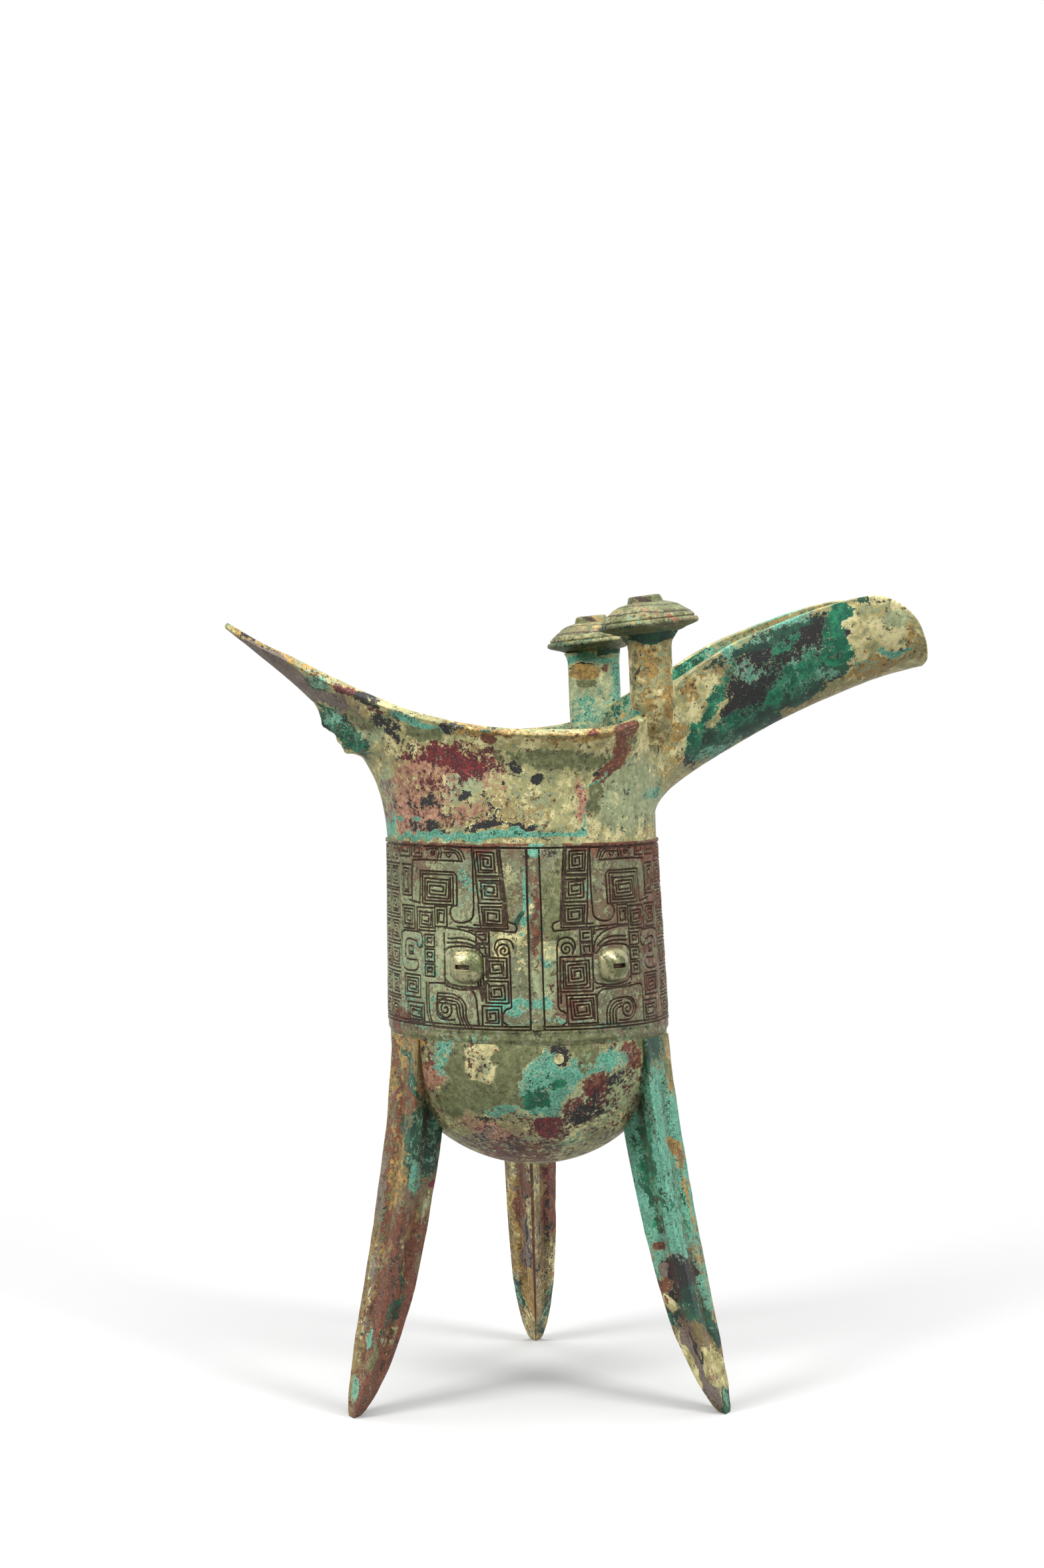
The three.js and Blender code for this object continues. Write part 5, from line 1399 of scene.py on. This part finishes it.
LEG_SPOTS = {
    "leg_tail_side": [
        # Ochre face with a brown strip, then red-brown with green stripes below
        ("ochre", (-32, 72, 4, 22, 0.4), (-32, 55, 2.4, 9, 0.4, -9)),
        ("cream", (-31, 72, 1.2, 14, 0.45, -4)),
        ("rust", (-28.7, 76, 1.1, 6, 1, 6), (-29.8, 68, 1, 5, 0.5, 10), (-34, 58, 0.8, 16, 0.7, -8),
         (-31.6, 78, 0.7, 12, 0.6, 2), (-33.5, 41, 3.5, 5, 0.5)),
        ("charcoal", (-31.4, 56, 2.4, 9, 0.3, -9), (-35.4, 46, 1, 10, 0.5, -8)),
        ("lilac", (-36.4, 50, 1.2, 12, 0.5, -8)),
        ("crimson", (-32, 39, 2.4, 4, 0.35)),
        # Teal inner face, darkened with charcoal as painted shade on the face turned from the light
        ("clear", (-25, 62, 4, 13, 1, -12)),
        ("pine", (-25, 64, 5, 12, 1.1, -12), (-28.2, 80, 0.9, 7, 1.2, 14), (-23.4, 52.4, 1.2, 1.3, -1.2)),
        ("turquoise", (-25, 62, 4.4, 12, 0.36, -12), (-28.3, 80, 0.7, 6, 0.4, 14),
         (-27.6, 53, 1.6, 4, 0.35)),
        # Painted shade: charcoal over the teal inner face
        ("charcoal", (-24.6, 64, 4, 9, 0.5)),
        ("celadon", (-24.4, 47, 0.9, 3.6, 1.3, -6)),
        ("crimson", (-23.4, 52.4, 1.2, 1.3, 1.3)),
        ("clear", (-27.6, 39, 4.4, 6, 0.8, -10)),
        ("rust", (-27.4, 39, 4.6, 7, 0.8, -10)),
        ("pine", (-25.5, 39, 1.2, 1.4, 0.8)),
        ("crimson", (-29, 43, 3, 4, 0.35)),
        ("celadon", (-26, 43, 3, 3, 0.36)),
        # Stripes along the lower part
        ("clear", (-34, 18, 30, 6, 0.8, 77)),
        ("rust", (-35, 18, 28, 5, 0.5, 77), (-34.4, 24, 13, 1.5, 1.1, 76), (-29.4, 25, 12, 1.4, 1.1, 76),
         (-35, 2, 9, 3, 1, 66), (-39, -1, 2.4, 4, 0.8)),
        ("charcoal", (-35, 18, 28, 5, 0.08, 77), (-31.8, 27, 8, 0.5, 0.5, 77), (-36, 24, 24, 5, 0.2, 77)),
        ("crimson", (-34, 20, 24, 3, 0.16, 77)),
        ("cream", (-30.4, 36, 4.6, 0.9, 1, 80), (-39.6, 20, 15, 0.5, 0.5, 80),
         (-39.2, 14, 2.5, 0.6, 0.7, 80)),
        ("ochre", (-31, 33, 7, 0.9, 0.5, 78), (-37, 26, 12, 0.6, 0.5, 80)),
        ("pine", (-32.2, 23, 9, 0.9, 0.95, 77)),
        ("celadon", (-34.6, 12, 7, 0.9, 0.8, 76)),
        ("lilac", (-38.2, 24, 14, 0.8, 0.5, 80)),
        ("turquoise", (-38.6, 13, 3.6, 1, 0.8, 80), (-42.6, 0, 1.6, 4, 0.6)),
        ("olive", (-37.6, 8, 5, 0.7, 0.6, 78)),
    ],
    "leg_spout_side": [
        # Turquoise above, darker along the inner face
        ("turquoise", (36, 62, 11, 30, 0.55), (38, 52, 6, 16, 0.3)),
        ("emerald", (37, 52, 6, 16, 0.14)),
        ("pine", (36, 62, 11, 30, -0.2)),
        ("clear", (35.5, 83, 5, 9, 0.8)),
        ("pine", (33.6, 80, 2.2, 12, 1), (30.2, 58, 2.4, 12, 0.8, 10), (33.4, 54, 1.2, 8, 0.8, 8),
         (35, 70, 2.4, 12, 0.75, 6)),
        ("charcoal", (33, 76, 1.2, 6, 0.5)),
        ("olive", (36, 86, 2.4, 8, 0.5)),
        ("ochre", (36.9, 84, 0.9, 10, 0.9)),
        ("turquoise", (34.6, 78, 1.6, 6, 0.5)),
        ("clear", (31.6, 69, 2.6, 8, 0.6, 14)),
        ("pine", (31.6, 69, 3, 9, 1, 14), (34.7, 50.5, 0.9, 3, 1.1, 0)),
        ("charcoal", (33.4, 74, 1.6, 5, 0.6, 20)),
        ("emerald", (31, 66, 2, 6, 0.4, 14), (30, 60, 3, 9, 0.5, 10), (34, 50, 2.4, 9, 0.36, 10),
         (41, 45, 3, 10, 0.3, 10), (33, 41, 3, 3, 0.4)),
        ("celadon", (36, 45, 2.4, 7, 0.5, 8)),
        ("cream", (38, 80, 0.9, 8, 0.6, 8)),
        ("clear", (39.4, 60.4, 2.2, 5, 1, 20)),
        ("ochre", (39.4, 60.4, 2, 4.8, 1.3, 20)),
        ("rust", (40.6, 58, 0.7, 4, 0.8, 14)),
        ("olive", (40, 59, 0.8, 3, 0.5, 14)),
        ("clear", (42.8, 50, 0.5, 10, 0.9, 10)),
        ("ochre", (43, 50, 0.6, 12, 1, 10)),
        ("clear", (34.5, 36.6, 1.1, 1.4, 1)),
        ("rust", (34.5, 36.6, 1, 1.3, 1.2)),
        ("clear", (37, 37, 0.6, 2.2, 1, 8)),
        ("rust", (37, 37, 0.5, 2, 1.2, 8)),
        # Black patch with flakes of cream and brown
        ("clear", (40.6, 26, 5, 8.5, 0.95, 12)),
        ("charcoal", (40.4, 28.5, 4.8, 7, 1.1), (42.4, 21, 3.2, 5.4, 0.8), (36.2, 32.4, 2.4, 1.4, 0.9),
         (42.2, 33.8, 0.8, 3, 0.9, 20)),
        ("pine", (44.6, 20, 3, 8, 0.8, 16), (40, 19, 4, 4, 0.7)),
        ("clear", (36.8, 30.3, 1.3, 1.8, 1)),
        ("lilac", (36.8, 30.3, 1.1, 1.6, 1.2)),
        ("cream", (36.8, 30.3, 1.1, 1.6, 0.9)),
        ("clear", (36.6, 26.6, 2.2, 2.2, 1)),
        ("rust", (36.6, 26.6, 2, 2, 1.2)),
        ("clear", (37.9, 21.6, 1.6, 3, 1, 28)),
        ("cream", (37.9, 21.6, 1.5, 2.9, 1.2, 28), (38.6, 25.2, 0.5, 0.7, 1.2)),
        ("rust", (37.4, 22, 0.8, 2.2, 0.7, 28)),
        ("turquoise", (41, 20.6, 2, 1, 0.5)),
        # Green with ochre flecks on the outer face, a gilded edge
        ("pine", (46, 20, 2.4, 11, 0.4, 12), (49.6, 11, 1.6, 4, 0.7)),
        ("turquoise", (46.6, 24, 2, 7, 0.2, 12)),
        ("ochre", (46.4, 30, 8, 0.5, 1.1, 104), (49.2, 18, 7, 0.5, 0.7, 102)),
        ("cream", (46.2, 33, 4, 0.5, 0.8, 104)),
        # Cream and lilac crust at the foot
        ("clear", (47.4, 4, 15, 9, 1, 115)),
        ("cream", (43, 6.6, 9, 2.6, 1.2, 119), (49.8, 4, 7.5, 3.6, 1.4, 110)),
        ("lilac", (51, 0, 4, 3, 0.4, 110), (45.8, 5.4, 10, 1, 1.2, 115), (41.4, 13.4, 2, 1.6, 1.2)),
        ("pine", (50, 14, 1.4, 4, 0.9, 18), (52.4, -3, 1.8, 4, 1)),
        ("salmon", (49.4, 4, 3, 1, 0.4, 108)),
        ("charcoal", (44.4, 11, 4, 0.5, 0.9, 115), (46.4, 8.4, 0.9, 2, 0.6)),
        ("turquoise", (52.6, -2, 1.4, 3, 0.4)),
    ],
    "leg_handle_side": [
        # Tan stripes on one side of the middle edge, red-brown on the other
        ("rust", (0.2, 50, 1, 12, 1)),
        ("charcoal", (1.4, 44, 0.4, 16, 0.6)),
        ("cream", (2.6, 48, 1, 14, 0.6), (-2.2, 50, 0.8, 10, 0.5)),
        ("ochre", (-1.4, 40, 1, 14, 0.3)),
        ("lilac", (1.2, 38, 1.2, 6, 0.6)),
        ("clear", (7.6, 48, 2.4, 13, 0.9)),
        ("rust", (7.8, 50, 2.4, 13, 1)),
        ("crimson", (6, 50, 1.2, 10, 0.5)),
        ("ochre", (9.4, 46, 0.8, 14, 0.6), (2.2, 26, 1.4, 8, 0.5)),
        ("charcoal", (7, 44, 1.6, 12, 0.4), (5, 34, 2.4, 9, 0.3)),
        ("cream", (7.6, 33, 1.2, 5, 0.7), (1.6, 18, 1.2, 7, 0.5, 12)),
        ("salmon", (7.8, 33, 1, 4, 0.4)),
        ("pine", (-1.2, 26, 1.6, 5, 0.8, 10), (6, 20, 1.6, 8, 0.6, -14), (2.4, 6, 3, 3, 0.5)),
        ("turquoise", (-1.8, 26, 1.2, 4.4, 0.6, 10), (6, 21, 1.4, 7, 0.3, -14)),
    ],
}
POST_FRONT = {
    "front": {"cream": 0.5, "celadon": 0.3, "ochre": 0.44},
    "rear": {"celadon": 0.7, "turquoise": 0.14, "cream": 0.86},
}
POST_SPOTS = {
    "front": [
        ("ochre", (32.4, 183.5, 2, 4.4, 0.4), (37.4, 176, 2, 6, 0.32), (28.2, 187, 1.2, 3.4, 0.5),
         (29.6, 184, 0.6, 9, 0.5), (31.5, 174, 1.4, 2, 0.4)),
        ("cream", (34, 178, 4, 8, 0.3), (27.6, 178, 0.9, 8, 0.5)),
        ("pine", (33, 191.8, 8, 1.7, 1), (28.6, 187, 0.6, 3, 0.4)),
        ("olive", (28.5, 181, 0.8, 9, 0.5)),
        ("charcoal", (29.7, 184, 0.35, 8, 0.6)),
        ("turquoise", (28.4, 171.6, 1.6, 1, 0.7)),
    ],
    "rear": [
        ("clear", (15.4, 181.6, 4.4, 2.4, 0.8)),
        ("ochre", (15.4, 181.6, 4.4, 2.4, 1)),
        ("rust", (14, 182, 2.4, 1.6, 0.3), (20.6, 183.4, 1.2, 1.6, 0.9), (18.4, 186.2, 1.8, 0.7, 0.7)),
        ("olive", (15.4, 179.2, 3.4, 1, 0.8)),
        ("cream", (16, 174, 6, 5, 0.4), (14, 174, 3, 6, 0.2)),
        ("turquoise", (17, 185.4, 6.5, 1.2, 0.72), (24, 178, 1.7, 9, 0.6), (16, 173, 6, 4, 0.25),
         (16, 171, 6, 6, 0.12)),
        ("emerald", (23.6, 172, 1.8, 2.4, 0.4), (24, 186, 1.6, 3, 0.42)),
        ("celadon", (15, 174, 6, 6, 0.2)),
        ("pine", (17.5, 188.6, 9, 1.5, 1)),
        ("charcoal", (16, 183.6, 4.5, 0.4, 0.6)),
    ],
}
CAP_FRONT = {
    "front": {"ochre": 0.34, "rust": 0.3, "celadon": 0.34, "charcoal": 0.34, "pine": 0.34, "olive": 0.48},
    "rear": {"ochre": 0.36, "celadon": 0.36, "rust": 0.26, "charcoal": 0.33, "pine": 0.3, "olive": 0.46},
}
CAP_SPOTS = {
    "front": [
        ("rust", (34, 197, 10, 1.2, 0.22, -8), (33, 199.2, 6, 0.8, 0.6, -8), (38, 196.6, 5, 0.7, 0.5, -10)),
        ("olive", (36, 200, 8, 2.4, 0.4, -12)),
        ("charcoal", (22.4, 194.4, 2.4, 1.2, 0.75, 20), (29, 193, 2, 0.8, 0.5),
         (38, 194.4, 5, 0.8, 0.5, -10)),
        ("pine", (33, 192, 11, 1.2, 0.9), (24, 193, 4, 0.9, 0.6)),
        ("cream", (31, 201, 4, 1.2, 0.5), (37, 198.4, 3, 0.8, 0.5, -8)),
        ("turquoise", (31, 194.6, 5, 1, 0.42)),
        ("ochre", (30, 198, 7, 1.6, 0.3), (31, 201.2, 3.6, 0.8, 0.5)),
    ],
    "rear": [
        ("pine", (11, 188, 4, 1.2, 0.9, -20), (18, 189, 7, 1, 0.6)),
        ("rust", (15, 194, 6, 1, 0.36), (14, 193.4, 6, 0.7, 0.6, -8)),
        ("charcoal", (14, 192.4, 7, 0.5, 0.5), (9, 188.6, 2, 1.4, 0.5)),
        ("ochre", (16, 195, 6, 1.6, 0.3), (15, 196.8, 3, 0.8, 0.5)),
        ("cream", (18, 196, 4, 1, 0.4), (12, 194.6, 3, 0.7, 0.5, -8)),
    ],
}

# Each has three ground tones and the colour of dirt and painted shade in what is carved; worn
# bronze is more of a metal and smoother.
OLIVE = patina("olive_patina", ((140, 134, 88), (118, 114, 76), (152, 148, 108)), (60, 46, 36))
BAND = patina("band_patina", ((122, 126, 98), (104, 102, 78), (112, 92, 72)), (66, 46, 36))
PALE = patina("pale_patina", ((170, 166, 116), (150, 150, 104), (152, 134, 88)), (70, 56, 44))
LEG = patina("leg_patina", ((136, 120, 76), (112, 98, 66), (116, 98, 80)), (92, 56, 38))
WORN = patina("worn_bronze", ((158, 154, 116), (142, 140, 104), (172, 166, 130)), (66, 44, 36), 0.55, 0.28)

make_bowl()
make_bands()
make_ridge()
for name, azimuth in (
    ("front_tail_side", EYE_MIDDLE - EYE_ANGLE),
    ("front_spout_side", EYE_MIDDLE + EYE_ANGLE),
    ("rear_spout_side", EYE_MIDDLE + 180 - EYE_ANGLE),
    ("rear_tail_side", EYE_MIDDLE + 180 + EYE_ANGLE),
):
    make_eye("boss_" + name, azimuth, "eye_" + name)
for name, azimuth in (("front", -90), ("spout_side", 18), ("tail_side", 150)):
    make_spacer("plug_" + name, azimuth, "spacer_" + name)
make_lip()
for leg in LEGS:
    make_leg(*leg)
for end, side, x, wide, top, shift in POSTS:
    make_post(end, side, x, wide, top)
    make_cap(end, side, x, top, shift)
make_handle()
make_head()


# Stage, lights and camera, in metres

FLOOR_HALF = 6.0
FLOOR_TONES = (0.585, 0.605)
FLOOR_MOTTLE = 0.8  # size of the floor's faint mottle
FLOOR_ROUGHNESS = 0.9
FLOOR_FADE = (0.1, 0.3)  # the floor ends between these distances from a point behind the cup
FLOOR_MIDDLE = (0.0, 0.06, 0.0)
AMBIENT = 0.13
LENS = 56.56
SENSOR = 36
SHIFT_UP = -0.0346
AIM = Vector((0, 0, 0.1))
LIGHTS = (
    ("softbox_left", (-0.92, -0.50, 0.72), 0.36, 12),
    ("softbox_right", (0.66, -0.82, 0.78), 0.36, 10.5),
    ("softbox_top", (0.0, -0.08, 1.1), 1.3, 20),
)


def make_floor():
    """A white floor that fades out into the white around it."""
    mesh = bpy.data.meshes.new("floor")
    corners = [(x * FLOOR_HALF, y * FLOOR_HALF, 0) for x, y in ((-1, -1), (1, -1), (1, 1), (-1, 1))]
    mesh.from_pydata(corners, [], [(0, 1, 2, 3)])
    floor = bpy.data.objects.new("floor", mesh)
    bpy.context.collection.objects.link(floor)
    material = bpy.data.materials.new("floor_white")
    g = Graph(material)
    where = g.node("ShaderNodeTexCoord")["Object"]
    low, high = ((tone, tone, tone, 1.0) for tone in FLOOR_TONES)
    colour = g.mix(g.noise(where, FLOOR_MOTTLE, 2.0)[0], low, high)
    matt = {"Base Color": colour, "Roughness": FLOOR_ROUGHNESS, "Specular IOR Level": 0.0}
    white = g.node("ShaderNodeBsdfPrincipled", matt)
    away = g.vector("DISTANCE", where, FLOOR_MIDDLE)["Value"]
    clear = g.node("ShaderNodeBsdfTransparent")
    both = g.node("ShaderNodeMixShader", {0: g.ramp(away, *FLOOR_FADE), 1: white[0], 2: clear[0]})
    g.node("ShaderNodeOutputMaterial", {"Surface": both[0]})
    mesh.materials.append(material)


def make_world():
    """White where it is seen, in a surface too, and dim as a light."""
    world = bpy.data.worlds.new("studio")
    bpy.context.scene.world = world
    g = Graph(world)
    rays = g.node("ShaderNodeLightPath")
    seen = rays["Is Camera Ray"]
    for kind in ("Is Glossy Ray", "Is Transmission Ray"):
        seen = g.math("MAXIMUM", seen, rays[kind])
    kinds = ({0: (1, 1, 1, 1), 1: power} for power in (AMBIENT, 1.0))
    dim, white = (g.node("ShaderNodeBackground", inputs)[0] for inputs in kinds)
    g.node("ShaderNodeOutputWorld", {0: g.node("ShaderNodeMixShader", {0: seen, 1: dim, 2: white})[0]})


def make_light(name, place, size, power):
    light = bpy.data.lights.new(name, "AREA")
    light.shape = "RECTANGLE"
    light.size = light.size_y = size
    light.energy = power
    lamp = bpy.data.objects.new(name, light)
    bpy.context.collection.objects.link(lamp)
    lamp.location = place
    lamp.rotation_euler = (AIM - Vector(place)).to_track_quat("-Z", "Y").to_euler()


def make_camera():
    data = bpy.data.cameras.new("camera")
    data.sensor_width = SENSOR
    data.lens = LENS
    data.shift_y = SHIFT_UP
    camera = bpy.data.objects.new("camera", data)
    bpy.context.collection.objects.link(camera)
    camera.location = EYE / 1000
    camera.rotation_euler = (math.radians(90), 0, -EYE_TURN)
    bpy.context.scene.camera = camera


make_floor()
make_world()
for light in LIGHTS:
    make_light(*light)
make_camera()
bpy.context.scene.view_settings.view_transform = "Standard"
